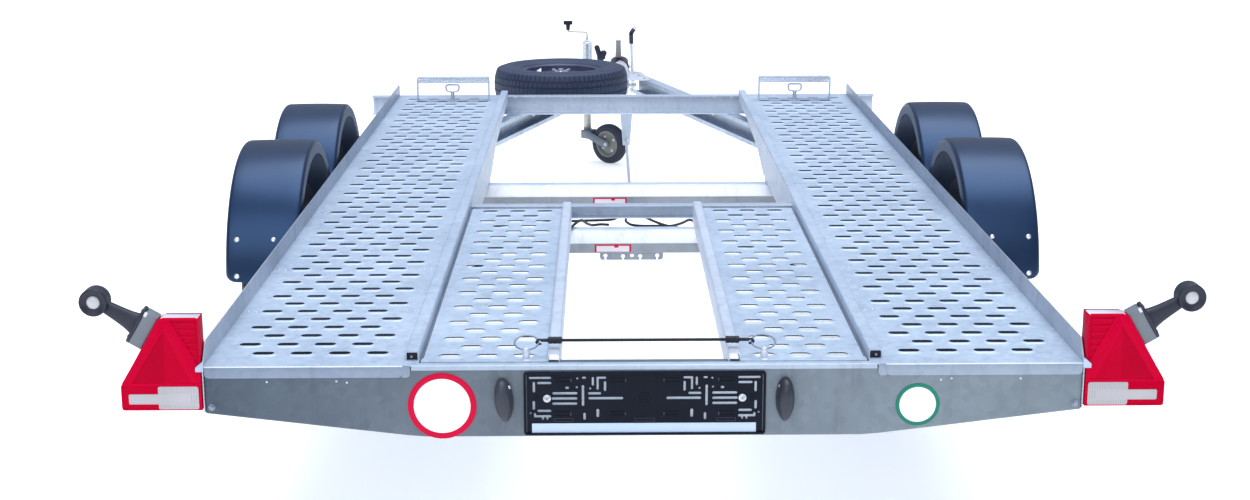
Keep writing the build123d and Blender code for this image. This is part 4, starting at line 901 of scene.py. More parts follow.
def make_tyre(name, body, centre, axis, rad=299.6, hw_=82.0, pitches=72, replaces=(), mat="tyre", cut_by=1.0):
    b = Build()
    a = Vector(axis).normalized()
    x, y = axes(a)[:2]
    o = Vector(centre)
    # columns over the tread: (offset, depth, group); group says which cross cuts reach the column
    cols = [(-70.0, 2.2, 0), (-66.0, 0.0, 0), (-56.0, 0.0, 0), (-45.6, 0.0, 0), (-45.0, 7.0, 9), (-38.6, 7.0, 9), (-38.0, 0.0, 1),
            (-29.0, 0.0, 1), (-20.2, 0.0, 1), (-19.6, 7.0, 9), (-12.6, 7.0, 9), (-12.0, 0.0, 2), (0.0, 0.0, 2), (12.0, 0.0, 2),
            (12.6, 7.0, 9), (19.6, 7.0, 9), (20.2, 0.0, 1), (29.0, 0.0, 1), (38.0, 0.0, 1), (38.6, 7.0, 9), (45.0, 7.0, 9),
            (45.6, 0.0, 0), (56.0, 0.0, 0), (66.0, 0.0, 0), (70.0, 2.2, 0)]
    shift = lambda off: 0.010 * (abs(off) / 60.0) * (1 if off > 0 else 1) + 0.0035 * off / 60.0
    step = 2 * math.pi / pitches
    # angular columns in a pitch: (share, shoulder cut, rib cut, centre cut)
    ang = [(0.00, 0, 0, 0), (0.56, 0, 0, 0), (0.60, 6.0, 0, 0), (0.80, 6.0, 0, 0), (0.84, 0, 0, 0), (0.90, 0, 0, 0)]
    ang = [(0.00, 0.0, 0.0, 0.0), (0.40, 0.0, 0.0, 0.0), (0.43, 0.0, 4.5, 3.0), (0.52, 0.0, 4.5, 3.0), (0.55, 0.0, 0.0, 0.0),
           (0.70, 0.0, 0.0, 0.0), (0.73, 5.5, 0.0, 0.0), (0.93, 5.5, 0.0, 0.0), (0.96, 0.0, 0.0, 0.0)]
    side = spline_pts((70.0, tread_radius(70.0, rad) - 2.2), (hw_, 232.0), (66.0, 178.0), 14)[1:]
    # bead ring and a thin protector rib on the flank
    flank = []
    for s_, r_ in side:
        bump = 1.0 if 189 < r_ < 196 else 0.0
        flank.append((min(s_ + bump, hw_), r_))
    prof = []
    prof += [(-s_, r_, -1, 0.0) for s_, r_ in reversed(flank)]
    prof += [(c_[0], tread_radius(c_[0], rad), c_[2], c_[1]) for c_ in cols]
    prof += [(s_, r_, -1, 0.0) for s_, r_ in flank]
    k = len(prof)
    V, F = [], []
    n = pitches * len(ang)
    for i in range(pitches):
        for sh, c0, c1, c2 in ang:
            for off, r_, g, dep in prof:
                t = (i + sh) * step + (shift(off) if g >= 0 else shift(70.0 if off > 0 else -70.0))
                cut = dep
                if g == 0:
                    cut = max(dep, c0 if abs(off) > 48 else c0 * 0.8)
                elif g == 1:
                    cut = max(dep, c1)
                elif g == 2:
                    cut = max(dep, c2)
                rr = (r_ - cut * cut_by) / 1000.0
                V.append(o + a * (off / 1000.0) + (x * math.cos(t) + y * math.sin(t)) * rr)
    for i in range(n):
        i2 = (i + 1) % n
        for j in range(k - 1):
            F.append((i * k + j, i2 * k + j, i2 * k + j + 1, i * k + j + 1))
    b.add(V, F, mat)
    # inner wall from bead to bead
    lathe(b, o, a, [(0.066, 0.178), (0.0645, 0.1768), (0.0602, 0.1768), (0.0562, 0.1664), (-0.0562, 0.1664), (-0.0602, 0.1768), (-0.0645, 0.1768), (-0.066, 0.178)], "tyre", 96, x=x, caps=False)
    # fine rings on the flanks, moulded with the tyre
    for s_ in (-1, 1):
        for r_, w_ in ((0.2605, 0.0012), (0.2075, 0.0012)):
            q = min(side, key=lambda p_: abs(p_[1] - r_ * 1000))
            torus(b, o + a * (s_ * (q[0] / 1000.0 - 0.0012)), a, q[1] / 1000.0, 0.0018, "tyre", 72, 6)
    ob = b.object(name, body, sharp=38, replaces=replaces)
    return ob


def wheel_details(name, body, centre, out, with_cap=True):
    """Wheel bolts, hub cap and valve of one wheel; no balance weight is drawn. out is +1 or -1 along X, or a vector."""
    b = Build()
    a = Vector(out).normalized()
    x, y, _ = axes(a)
    o = Vector(centre)
    for i in range(4):
        t = math.pi / 4 + i * math.pi / 2
        d = x * math.cos(t) + y * math.sin(t)
        pos = o + d * 0.049 + a * 0.034
        lathe(b, pos, a, [(0.0, 0.0118), (0.0035, 0.0112), (0.004, 0.0102)], "zinc", 20)
        bolt(b, pos + a * 0.003, a, r=0.0085, h=0.010, washer=False)
    if with_cap:
        # pressed grease cap with a bead and a domed end
        prof = [(0.0338, 0.0279), (0.0360, 0.0288), (0.0380, 0.0288), (0.0398, 0.0279), (0.0460, 0.0276)]
        prof += [(0.0460 + 0.0065 * math.sin(t), 0.0205 + 0.0071 * math.cos(t)) for t in np.linspace(0.1, math.pi / 2, 6)]
        prof += [(0.0529, 0.012), (0.0531, 1e-5)]
        lathe(b, o, a, prof, "zinc", 40)
    t = 0.2
    d = x * math.cos(t) + y * math.sin(t)
    base = o + d * 0.143 + a * 0.026
    tip = base + a * 0.020 - d * 0.003
    tube(b, [base, base + a * 0.010, tip], 0.0045, "rubber", 12, radii=[0.0062, 0.0052, 0.0040])
    tube(b, [tip, tip + a * 0.008], 0.0042, "rubber", 12)
    return b.object(name, body, sharp=35)


for side, sname in ((-1.0, "left"), (1.0, "right")):
    for dy, aname in ((0.0, "rear"), (738.0, "front")):
        bn = "wheel_%s_%s" % (aname, sname)
        ctr = (side * 1.103, Y(1755.0 + dy), 0.300)
        make_tyre("tread_%s_%s" % (aname, sname), bn, ctr, (side, 0, 0), replaces=["tyre_%s_%s" % (aname, sname)])
        wheel_details("wheel_bolts_%s_%s" % (aname, sname), bn, ctr, (side, 0, 0))

# spare wheel, lying on the drawbar with its face up; its tyre carries a painted blue sky sheen
spare_c = P(-278.0, 4352.0, 2.0)
make_tyre("tread_spare", "chassis", spare_c, (0, 0, 1), rad=301.8, hw_=81.0, pitches=84, replaces=["spare_tyre"], mat="tyre_spare_painted_sheen", cut_by=0.6)
b = Build()
# wing nut and washer that clamp the spare
zz = Z(2.0) + 0.0393
lathe(b, (spare_c[0], spare_c[1], zz), (0, 0, 1), [(0.0, 0.0350), (0.003, 0.0350), (0.004, 0.0338)], "zinc", 40)
lathe(b, (spare_c[0], spare_c[1], zz + 0.003), (0, 0, 1), [(0.0, 0.015), (0.012, 0.0140), (0.014, 0.0125)], "zinc", 24)
for s_ in (-1, 1):
    slab(b, round_poly([(0.012, 0.004), (0.040, 0.016), (0.042, 0.023), (0.030, 0.024), (0.012, 0.014)], 0.004, 4),
         frame_place((spare_c[0], spare_c[1] , zz + 0.001), (0, -s_, 0), x=(s_, 0, 0)), -0.0025, 0.0025, "zinc", edge=0.0012)
tube(b, [(spare_c[0], spare_c[1], zz + 0.0), (spare_c[0], spare_c[1], zz + 0.0245)], 0.006, "zinc", 16)
# small paper label on the flank
n_lab = Vector((-0.30, 0.62, 0.72)).normalized()
pl = frame_place(Vector(spare_c) + Vector((-0.118, 0.122, 0.046)), (0, -0.5, 0.87), x=(1, 0.05, 0))
slab(b, rounded(-0.024, -0.020, 0.024, 0.020, 0.002, 3), pl, 0.0, 0.0006, "white_vinyl", edge=0.0002, steps=1)
b.object("spare_fixings", "chassis")
# ---------------------------------------------------------------- mudguards
GUARD_BOLTS = [(math.radians(23.6), 1.170), (math.radians(23.6), 1.063), (math.radians(7.4), 1.170), (math.radians(7.4), 1.063)]
GR, GZ = 0.386, Z(-193.0)


def guard_section(x0, x1, depth_in, depth_out, t=0.0042):
    """Outline (x, depth below the crown): x0 is the side towards the frame."""
    outer = [(x0, depth_in), (x0, 0.017)]
    for i in range(1, 6):
        a_ = math.pi / 2 * i / 6
        outer.append((x0 + 0.013 * (1 - math.cos(a_)), 0.0165 - 0.0145 * math.sin(a_)))
    w = x1 - x0
    for i in range(9):
        u = i / 8.0
        outer.append((x0 + 0.013 + (w - 0.026) * u, 0.0019 - 0.0019 * math.sin(math.pi * u) ** 0.7 if 0 < u < 1 else 0.0019))
    for i in range(5, 0, -1):
        a_ = math.pi / 2 * i / 6
        outer.append((x1 - 0.013 * (1 - math.cos(a_)), 0.0165 - 0.0145 * math.sin(a_)))
    outer += [(x1, 0.017), (x1, depth_out)]
    inner = [(x1 - t, depth_out), (x1 - t, 0.019)]
    for i in range(1, 6):
        a_ = math.pi / 2 * i / 6
        inner.append((x1 - t - 0.011 * (1 - math.cos(a_)), 0.0185 - 0.0125 * math.sin(a_)))
    for i in range(9):
        u = 1 - i / 8.0
        inner.append((x0 + 0.015 + (w - 0.030) * u, 0.0058))
    for i in range(5, 0, -1):
        a_ = math.pi / 2 * i / 6
        inner.append((x0 + t + 0.011 * (1 - math.cos(a_)), 0.0185 - 0.0125 * math.sin(a_)))
    inner += [(x0 + t, 0.019), (x0 + t, depth_in)]
    return outer + inner


for side, sname in ((-1.0, "left"), (1.0, "right")):
    for dy, aname in ((0.0, "rear"), (738.0, "front")):
        b = Build()
        yc = Y(1755.0 + dy)
        away = -1.0 if dy == 0.0 else 1.0
        # angle from the outer end (0 = level with the centre, outer side) over the top to the shared joint
        a0 = math.asin(0.0312 / GR)
        a1 = math.pi - math.acos(0.3665 / GR)
        rc = 0.026          # rounding of the outer end's corners
        N = 64
        stations = []
        da = rc / GR
        for i in range(7):
            t = i / 6.0
            stations.append((a0 + da * (1 - math.cos(t * math.pi / 2)), rc * (1 - math.sin(t * math.pi / 2))))
        for i in range(1, N + 1):
            stations.append((a0 + da + (a1 - a0 - da) * i / N, 0.0))
        V, F = [], []
        k = None
        for ang_, pull in stations:
            sec = guard_section(0.987 + pull, 1.205 - pull, 0.0435 - pull * 0.5, 0.0255 - pull * 0.2)
            k = len(sec)
            for x, dep in sec:
                r_ = GR - dep
                V.append((side * x, yc + away * r_ * math.cos(ang_), GZ + r_ * math.sin(ang_)))
        # flanges are cut level at the outer end and upright at the joint
        V2 = []
        for x, y, z in V:
            z = max(z, GZ + 0.0312)
            lim = yc - away * 0.3665
            y = max(y, lim) if away > 0 else min(y, lim)
            V2.append((x, y, z))
        n = len(stations)
        for i in range(n - 1):
            for j in range(k):
                j2 = (j + 1) % k
                q = (i * k + j, i * k + j2, (i + 1) * k + j2, (i + 1) * k + j)
                F.append(q if side * away > 0 else tuple(reversed(q)))
        c0, c1 = tuple(range(k)), tuple((n - 1) * k + j for j in range(k))
        half = k // 2
        # caps as strips between the outer and the inner line
        for base, rev in ((0, side * away > 0), ((n - 1) * k, side * away < 0)):
            for j in range(half - 1):
                q = (base + j, base + j + 1, base + k - 2 - j, base + k - 1 - j)
                F.append(tuple(reversed(q)) if rev else q)
        b.add(V2, F, "guard")
        # round-head bolts near the outer end; their nuts are not drawn
        for ang_, x in GUARD_BOLTS:
            r_ = GR + 0.0
            u = Vector((0, away * math.cos(ang_), math.sin(ang_)))
            pos = Vector((side * x, yc, GZ)) + u * (GR - 0.0022)
            dome(b, pos, u, 0.0072, 0.0048, "bright", 18, flange=0.0088)
        b.object("guard_%s_%s" % (aname, sname), "chassis", sharp=40, replaces=["mudguard_%s_%s" % (aname, sname)])
# ---------------------------------------------------------------- tail lamps
def mm(pts):
    return [(a / 1000.0, q / 1000.0) for a, q in pts]


def ring_slab(b, outline, place, width, t0, t1, mat, edge=0.0008):
    """Raised border that follows an anticlockwise outline, width wide, from height t0 to t1."""
    prof = [(0.0, t0), (0.0, t1 - edge), (edge * 0.3, t1 - edge * 0.3), (edge, t1), (width - edge, t1), (width - edge * 0.3, t1 - edge * 0.3), (width, t1 - edge), (width, t0)]
    k = len(outline)
    V, F = [], []
    for d_, h_ in prof:
        V += [place(u, v, h_) for u, v in (inset(outline, d_) if d_ > 1e-9 else outline)]
    for i in range(len(prof) - 1):
        for j in range(k):
            j2 = (j + 1) % k
            F.append((i * k + j, i * k + j2, (i + 1) * k + j2, (i + 1) * k + j))
    o, x, y, z = Vector(place(0, 0, 0)), Vector(place(1, 0, 0)), Vector(place(0, 1, 0)), Vector(place(0, 0, 1))
    if (x - o).cross(y - o).dot(z - o) < 0:
        F = [tuple(reversed(f)) for f in F]
    b.add(V, F, mat)


for s_, sname in ((-1.0, "left"), (1.0, "right")):
    b = Build()
    at = lambda y: (lambda u, v, w: (s_ * u, Y(y) - w, DZ - 0.1030 + (v + 0.1010) * 1.014))
    hull = round_poly(mm([(973, -101), (1154, -101), (1154, -44), (1062.7, 110), (973, 110)]), mm([(5, 0), (9, 0), (14, 0), (17, 0), (8, 0)]) and [0.005, 0.009, 0.014, 0.020, 0.008], 6)
    slab(b, inset(hull, 0.0042), at(60.5), 0.0, 0.017, "coat_black", edge=0.002, steps=2)
    slab(b, inset(hull, 0.0018), at(44.0), 0.0, 0.0365, "red_lens", edge=0.0012, steps=2, both=False, side_mat="red_side_painted_shade")
    ring_slab(b, inset(hull, 0.0016), at(9.0), 0.0050, 0.0, 0.0082, "red_lens", edge=0.0020)
    # bright frame of the triangular reflector
    band = mm([(1134, -42), (1141, -36), (1066, 95), (1052, 97), (1046, 92), (982, -12), (982, -30), (989, -42)])
    inner = mm([(1129, -35), (1060.5, 84), (991, -35)])
    # frame as three bars, each rounded
    bars = [mm([(978, -44.5), (1150, -44.5), (1147, -37.0), (978, -37.0)]),
            mm([(1127, -37.4), (1149, -37.4), (1062, 104.5), (1040, 104.5), (1049, 84)]),
            mm([(978, -37.4), (996, -37.4), (1054, 84), (1050, 104.5), (1036, 104.5), (978, -2)])]
    for pts, hb_ in zip(bars, (0.0066, 0.0069, 0.0063)):
        slab(b, round_poly(pts, 0.0010, 3), at(8.0), 0.0, hb_, "red_lens", edge=0.0006, steps=2, both=False)
    # the reflector's two facets meet in an upright ridge; the outer facet is a darker red than the inner: painted shade
    V = [(1130, -37.3, 2.8), (1054, -37.3, 1.5), (989, -37.3, 2.8), (1050.5, 90, 2.8)]
    vv = [(s_ * x / 1000, Y(y), Z(-103.0 + (z + 101.0) * 1.014)) for x, z, y in V]
    f1, f2 = (0, 1, 3), (1, 2, 3)
    if s_ > 0:
        f1, f2 = f1[::-1], f2[::-1]
    b.add([vv[i] for i in (0, 1, 3)], [(0, 1, 2) if s_ < 0 else (2, 1, 0)], "red_facet_painted_shade", False)
    b.add([vv[i] for i in (1, 2, 3)], [(0, 1, 2) if s_ < 0 else (2, 1, 0)], "red_mid", False)
    b.add([vv[0], vv[1], (vv[1][0], Y(8.0), vv[1][2]), (vv[0][0], Y(8.0), vv[0][2])], [(0, 1, 2, 3)], "red_facet_painted_shade", False)
    b.add([vv[1], vv[2], (vv[2][0], Y(8.0), vv[2][2]), (vv[1][0], Y(8.0), vv[1][2])], [(0, 1, 2, 3)], "red_mid", False)
    # louvred field beside it
    slab(b, mm([(980, -8), (983, -8), (1041, 99), (1038, 103), (980, 103)]), at(8.6), 0.0, 0.0040, "red_mid", edge=0.0)
    slab(b, mm([(1033, 80), (1064, 80), (1061, 104.5), (1033, 104.5)]), at(8.0), 0.0, 0.0057, "red_lens", edge=0.0006, steps=1, both=False)
    for i in range(7):
        zt = 100.5 - 15.2 * i
        zb = zt - 9.6
        xr = 982 + (zb + 4) * (1050 - 983) / 107.0
        if xr < 984:
            continue
        x1 = 983 + (zb + 8) * 58.0 / 107.0
        x2 = 983 + (zt + 8) * 58.0 / 107.0
        V = [(980.5, zb, 4.6), (x1, zb, 4.6), (x2, zt, 4.6), (980.5, zt, 4.6), (980.5, zb + 1.0, 3.2), (x1 + 0.4, zb + 1.0, 3.2), (x2 - 0.4, zt - 2.6, 2.4), (980.5, zt - 2.6, 2.4)]
        vv = [(s_ * x / 1000, Y(y), Z(-103.0 + (z + 101.0) * 1.014)) for x, z, y in V]
        F = [(4, 5, 6, 7), (0, 1, 5, 4), (1, 2, 6, 5), (2, 3, 7, 6), (3, 0, 4, 7)]
        if s_ < 0:
            F = [tuple(reversed(f)) for f in F]
        b.add(vv, F, "red_mid", False)
    # lower panel with its recess
    low = round_poly(mm([(977, -97.2), (1150, -97.2), (1150, -46), (1141, -44), (977, -44)]), [0.004, 0.007, 0.004, 0.001, 0.001], 4)
    slab(b, low, at(8.0), 0.0, 0.0058, "red_mid", edge=0.0010, steps=2, both=False)
    ring_slab(b, round_poly(mm([(1073, -60.5), (1140, -60.5), (1140, -46.5), (1073, -46.5)]), 0.002, 3), at(2.4), 0.0018, -0.001, 0.0006, "red_lens", edge=0.0004)
    # clear reversing window and its bar
    win = round_poly(mm([(982, -97.4), (1071, -97.4), (1071, -85.0), (1136, -85.0), (1136, -62.0), (1071, -62.0), (1071, -45.0), (982, -45.0)]), [0.006, 0.006, 0.0015, 0.004, 0.004, 0.0015, 0.005, 0.006], 5)
    slab(b, win, at(3.0), 0.0, 0.0022, "window_grey", edge=0.0012, steps=3, both=False)
    ring_slab(b, round_poly(mm([(1001, -84.6), (1133.5, -84.6), (1133.5, -62.4), (1001, -62.4)]), 0.003, 4), at(1.2), 0.0016, -0.0004, 0.00062, "window_grey", edge=0.0003)
    for i in range(16):
        x = 986.5 + i * 5.3
        for za, zb in ((-95.0, -86.5), (-60.5, -47.5)):
            slab(b, mm([(x, za), (x + 1.1, za), (x + 1.1, zb), (x, zb)]), at(1.0), -0.0004, 0.00045, "white_reed", edge=0.0)
        if x < 998:
            slab(b, mm([(x, -84), (x + 1.1, -84), (x + 1.1, -63), (x, -63)]), at(1.0), -0.0004, 0.00045, "white_reed", edge=0.0)
    # clear strip let into the top
    tp = lambda u, v, w: (s_ * u, v, Z(107.2) + w)
    slab(b, round_poly([(0.9768, Y(3.0)), (1.0565, Y(3.0)), (1.0565, Y(42.0)), (0.9768, Y(42.0))], 0.004, 3), tp, 0.0, 0.0020, "clear_strip", edge=0.0006, steps=2, both=False)
    # places of the two screws that hold the lens; nothing is drawn there
    for x, z in ((1103, -53), (1056, 101.5)):
        pass
    b.object("tail_lamp_" + sname, "chassis", sharp=32, replaces=["tail_lamps"] if s_ > 0 else ())

    # ------------------------------------------------------------ marker lamp on its rubber arm
    b = Build()
    atm = lambda u, v, w: (s_ * u, Y(29.0) - w, DZ + v)
    # block: square to the lamp's slanted side
    e = (Vector((1154, -44)) - Vector((1068, 101))).normalized()      # down the lamp's slanted side
    n_ = Vector((-e.y, e.x))                                           # outwards along the arm
    base = Vector((1083.8, 71.3))
    blk = [base + e * 41.0 + n_ * 0.5, base + e * 41.0 + n_ * 31.0, base - e * 41.0 + n_ * 31.0, base - e * 41.0 + n_ * 0.5]
    slab(b, round_poly([tuple(q / 1000.0) for q in blk], [0.001, 0.003, 0.003, 0.001], 3), atm, -0.0190, 0.0190, "block_grey", edge=0.0018, steps=3)
    # light patch on the block's top corner: painted highlight
    pc = base + n_ * 35.0
    corner_highlight = [base - e * 41.2 + n_ * 24.5, base - e * 41.2 + n_ * 31.0, base - e * 30.0 + n_ * 31.2, base - e * 30.0 + n_ * 24.5]
    slab(b, round_poly([tuple(q / 1000.0) for q in corner_highlight[::-1]], 0.0008, 2)[:: 1], atm, 0.0182, 0.0196, "clear_strip", edge=0.0004, steps=1, both=False)
    # oval foot of the rubber arm
    foot = []
    for i in range(36):
        t = 2 * math.pi * i / 36
        cx_, cy_ = math.cos(t), math.sin(t)
        foot.append((0.0462 * (abs(cx_) ** 0.72) * (1 if cx_ > 0 else -1), 0.0205 * (abs(cy_) ** 0.72) * (1 if cy_ > 0 else -1)))
    o3 = Vector((s_ * pc.x / 1000, Y(29.0), DZ + pc.y / 1000))
    ax3 = Vector((s_ * e.x, 0, e.y))
    az3 = Vector((s_ * n_.x, 0, n_.y))
    ay3 = Vector((0, 1, 0))
    fp = lambda u, v, w: tuple(o3 + ax3 * u + ay3 * v + az3 * w)
    slab(b, foot, fp, -0.0045, 0.0045, "rubber_arm", edge=0.0022, steps=3)
    # tapered arm: oblong section that shrinks towards the round head
    head = Vector((1202.0, 143.0))
    start = pc + n_ * 3.0
    V, F = [], []
    K, NS = 24, 14
    for i in range(NS + 1):
        u = i / NS
        ctr = start.lerp(head, u * 0.93)
        flare = math.exp(-u * 7.0) * 5.0
        wa = 21.0 + (13.2 - 21.0) * min(1.0, u * 1.15) + flare
        wb = 13.0 + (11.0 - 13.0) * u + flare * 0.4
        dirv = (head - start).normalized()
        perp = Vector((-dirv.y, dirv.x))
        for j in range(K):
            t = 2 * math.pi * j / K
            cx_, cy_ = math.cos(t), math.sin(t)
            q = ctr + perp * (wa * abs(cx_) ** 0.6 * (1 if cx_ > 0 else -1))
            V.append((s_ * q.x / 1000, Y(29.0) + wb / 1000 * abs(cy_) ** 0.6 * (1 if cy_ > 0 else -1), DZ + q.y / 1000))
    for i in range(NS):
        for j in range(K):
            j2 = (j + 1) % K
            q = (i * K + j, i * K + j2, (i + 1) * K + j2, (i + 1) * K + j)
            F.append(q if s_ < 0 else tuple(reversed(q)))
    b.add(V, F, "rubber_arm")
    # head: drum with a dished rim and a lens at each end
    hc = (s_ * 1.202, Y(26.0), Z(143.5))
    for sg, mat_ in ((-1, "lens_grey"), (1, "lens_grey")):
        prof = [(0.0, 0.0306), (0.012, 0.0312), (0.0185, 0.0310), (0.0205, 0.0302), (0.0215, 0.0286), (0.0213, 0.0266), (0.0196, 0.0248), (0.0170, 0.0205), (0.0160, 0.0155), (0.0160, 0.0138)]
        lathe(b, hc, (0, sg, 0), prof[:-1] + [(0.0160, 1e-5)], "rubber_arm", 48)
        lens = [(0.0158, 0.0146)] + [(0.0158 + 0.0052 * math.sin(t), 0.0140 * math.cos(t) + 1e-5) for t in np.linspace(0.15, math.pi / 2, 8)]
        lathe(b, hc, (0, sg, 0), lens, mat_, 32)
        for rr in (0.0045, 0.0085):
            torus(b, (hc[0], hc[1] + sg * (0.0158 + 0.0052 * math.sqrt(1 - (rr / 0.014) ** 2) - 0.0002), hc[2]), (0, 1, 0), rr, 0.0005, "lens_grey", 28, 6)
    # two nuts that hold the foot
    for q in (-0.034, 0.034):
        pos = o3 + ax3 * q + az3 * 0.0045
        bolt(b, pos, az3, r=0.0035, h=0.003, washer=False)
    b.object("marker_" + sname, "chassis", sharp=40, replaces=["marker_lamps"] if s_ > 0 else ())
# ---------------------------------------------------------------- rear beam
b = Build()
front_open = 0.060
out = round_poly(mm([(-969, -109), (-520, -163), (-480, -166), (480, -166), (520, -163), (969, -109), (969, -6), (-969, -6)]),
                 [0.004, 0.03, 0.03, 0.03, 0.03, 0.004, 0.003, 0.003], 3)
rear = lambda y: (lambda u, v, w: (u, Y(y) - w, DZ + v))
k = len(out)


def tray(b, outline, y_open, y_face, t, r, mat):
    """Pressed tray: flanges run forwards to y_open, its face lies at y_face, corners rounded by r."""
    prof = [(0.0, y_open)]
    for i in range(5):
        a_ = math.pi / 2 * i / 4
        prof.append((r * (1 - math.cos(a_)), y_face + r * (1 - math.sin(a_))))
    ins = [(t, y_open)]
    ri = max(0.0004, r - t)
    for i in range(5):
        a_ = math.pi / 2 * i / 4
        ins.append((t + ri * (1 - math.cos(a_)), y_face + t + ri * (1 - math.sin(a_))))
    V, F = [], []
    k = len(outline)
    allp = prof + ins
    for d_, y in allp:
        V += [(u, y, DZ + v) for u, v in (inset(outline, d_) if d_ > 1e-9 else outline)]
    np_ = len(prof)

    def strip(i0, i1, rev=False):
        for j in range(k):
            j2 = (j + 1) % k
            q = (i0 * k + j, i0 * k + j2, i1 * k + j2, i1 * k + j)
            F.append(tuple(reversed(q)) if rev else q)
    for i in range(np_ - 1):
        strip(i, i + 1)
    for i in range(len(ins) - 1):
        strip(np_ + i, np_ + i + 1, True)
    strip(np_, 0)
    b.add(V, F, mat)
    # both faces are meshed finely, so that their shading stays even
    for idx, rev in ((np_ - 1, False), (len(allp) - 1, True)):
        ring = [(V[idx * k + j][0], V[idx * k + j][2]) for j in range(k)]
        yy = V[idx * k][1]
        grid = [(x / 100.0, DZ - z / 1000.0) for x in range(-96, 97, 4) for z in (20, 50, 80, 100, 115, 130, 145, 155)]
        lim = lambda x: DZ - (0.109 + (0.969 - max(0.52, abs(x))) / 0.449 * 0.054) + 0.010
        pts2 = [Vector(p_) for p_ in ring] + [Vector(p_) for p_ in grid if p_[1] > lim(p_[0])]
        cv, ce, cf, *_ = geometry.delaunay_2d_cdt(pts2, [(j, (j + 1) % k) for j in range(k)], [], 1, 1e-6)
        G = []
        for f in cf:
            a, b_, c3 = (cv[j] for j in f[:3])
            ccw = (b_.x - a.x) * (c3.y - a.y) - (b_.y - a.y) * (c3.x - a.x) > 0
            G.append(tuple(f) if ccw != rev else tuple(reversed(f)))
        b.add([(p_.x, yy, p_.y) for p_ in cv], G, mat)


# beam in a much darker copy of the zinc, darker on the left and lighter on the right: painted shade and light
tray(b, out, Y(60.0), Y(0.0), 0.003, 0.006, "galv_beam_painted_light")
# sill over the middle: folded lip with a rounded nose
sill = [(-0.0010, -0.011), (-0.0010, -0.0030), (-0.0004, -0.0012), (0.0012, 0.0000), (0.0200, 0.0000), (0.0207, -0.0003), (0.0210, -0.0012), (0.0210, -0.011)]
bent(b, sill, [((-0.5130, Y(0), DZ), (0, 1, 0), (0, 0, 1)), ((0.5130, Y(0), DZ), (0, 1, 0), (0, 0, 1))], "galv_deck", caps=True)
# the sill's rear face in a darker copy of the deck zinc: painted shade
slab(b, rounded(-0.5130, Z(-11.0), 0.5130, Z(-2.6), 0.0006, 2), plane_xz(Y(-0.98)), 0.0, 0.0003, "sill_face_painted_shade", edge=0.0, both=False)
# ears on the top corners
for s_ in (-1, 1):
    ear = [(967.6, -12), (985.8, -12), (985.8, -2), (969, 12), (967.6, 12)]
    if s_ < 0:
        ear = [(-x, z) for x, z in reversed(ear)]
    slab(b, round_poly(mm(ear), 0.0026, 4), rear(0.0), -0.0001, 0.0029, "galv_deck", edge=0.0009, steps=2, both=False)
    # one small bolt near each end's lower corner
    bolt(b, (s_ * 0.9545, Y(-0.1), Z(-94.0)), (0, -1, 0), r=0.0046, h=0.0040, turn=0.2, mat="pin_steel")
    tube(b, [(s_ * 0.9635, Y(0.2), Z(z)) for z in np.linspace(-22, -104, 12)], 0.0009, "galv_beam_painted_light", 8)
    # weld seam between the beam and the side rail
    tube(b, [(s_ * 0.9688, Y(1.2), Z(z)) for z in np.linspace(-24, -100, 24)], 0.0014, "galv_beam_painted_light", 8, radii=[0.0014 + 0.0004 * math.sin(i * 2.1) for i in range(24)])
# the tracks' fold runs on over the ends of the inner rails, its face in the same darker zinc, lighter to the right:
# painted shade and light
for s_ in (-1, 1):
    x0, x1 = sorted((s_ * 0.5155, s_ * 0.5345))
    rads = [0.0, 0.010, 0.003, 0.0] if s_ < 0 else [0.010, 0.0, 0.0, 0.003]
    slab(b, round_poly([(x0, Z(-27)), (x1, Z(-27)), (x1, Z(-1.6)), (x0, Z(-1.6))], rads, 5), plane_xz(Y(-0.8)), 0.0, 0.0021, "fold_lip_painted_light", edge=0.0008, steps=2, both=False)
# low rivets under the folded lips of the tracks
for s_ in (-1, 1):
    for x, z in ((0.655, -38.0), (0.678, -35.0), (0.831, -36.0)):
        dome(b, (s_ * x, Y(0.0), Z(z)), (0, -1, 0), 0.0026, 0.0013, "galv_rail", 12)
# the drain holes' rims along the lower flange and the holder's nuts behind are not drawn
b.object("rear_beam_shell", "chassis", sharp=35, replaces=["rear_beam"])

# ---------------------------------------------------------------- blank round signs
b = Build()


def disc_sign(cx_, cz_, r, ring, mat, y=-0.2):
    pl = lambda u, v, w: (cx_ + u, Y(y) - w, Z(cz_ * 1000) + v)
    n_ = 72
    ring_o = [(r * math.cos(2 * math.pi * i / n_), r * math.sin(2 * math.pi * i / n_)) for i in range(n_)]
    ring_slab(b, ring_o, pl, ring, -0.0002, 0.0011, mat, edge=0.0004)
    slab(b, inset(ring_o, ring - 0.0006), pl, -0.0002, 0.0008, "white_vinyl", edge=0.0001, steps=1, both=False)


disc_sign(-0.447, -0.093, 0.076, 0.0135, "red_vinyl")
disc_sign(0.605, -0.095, 0.049, 0.0085, "green_vinyl")
b.object("round_signs", "chassis", sharp=30)

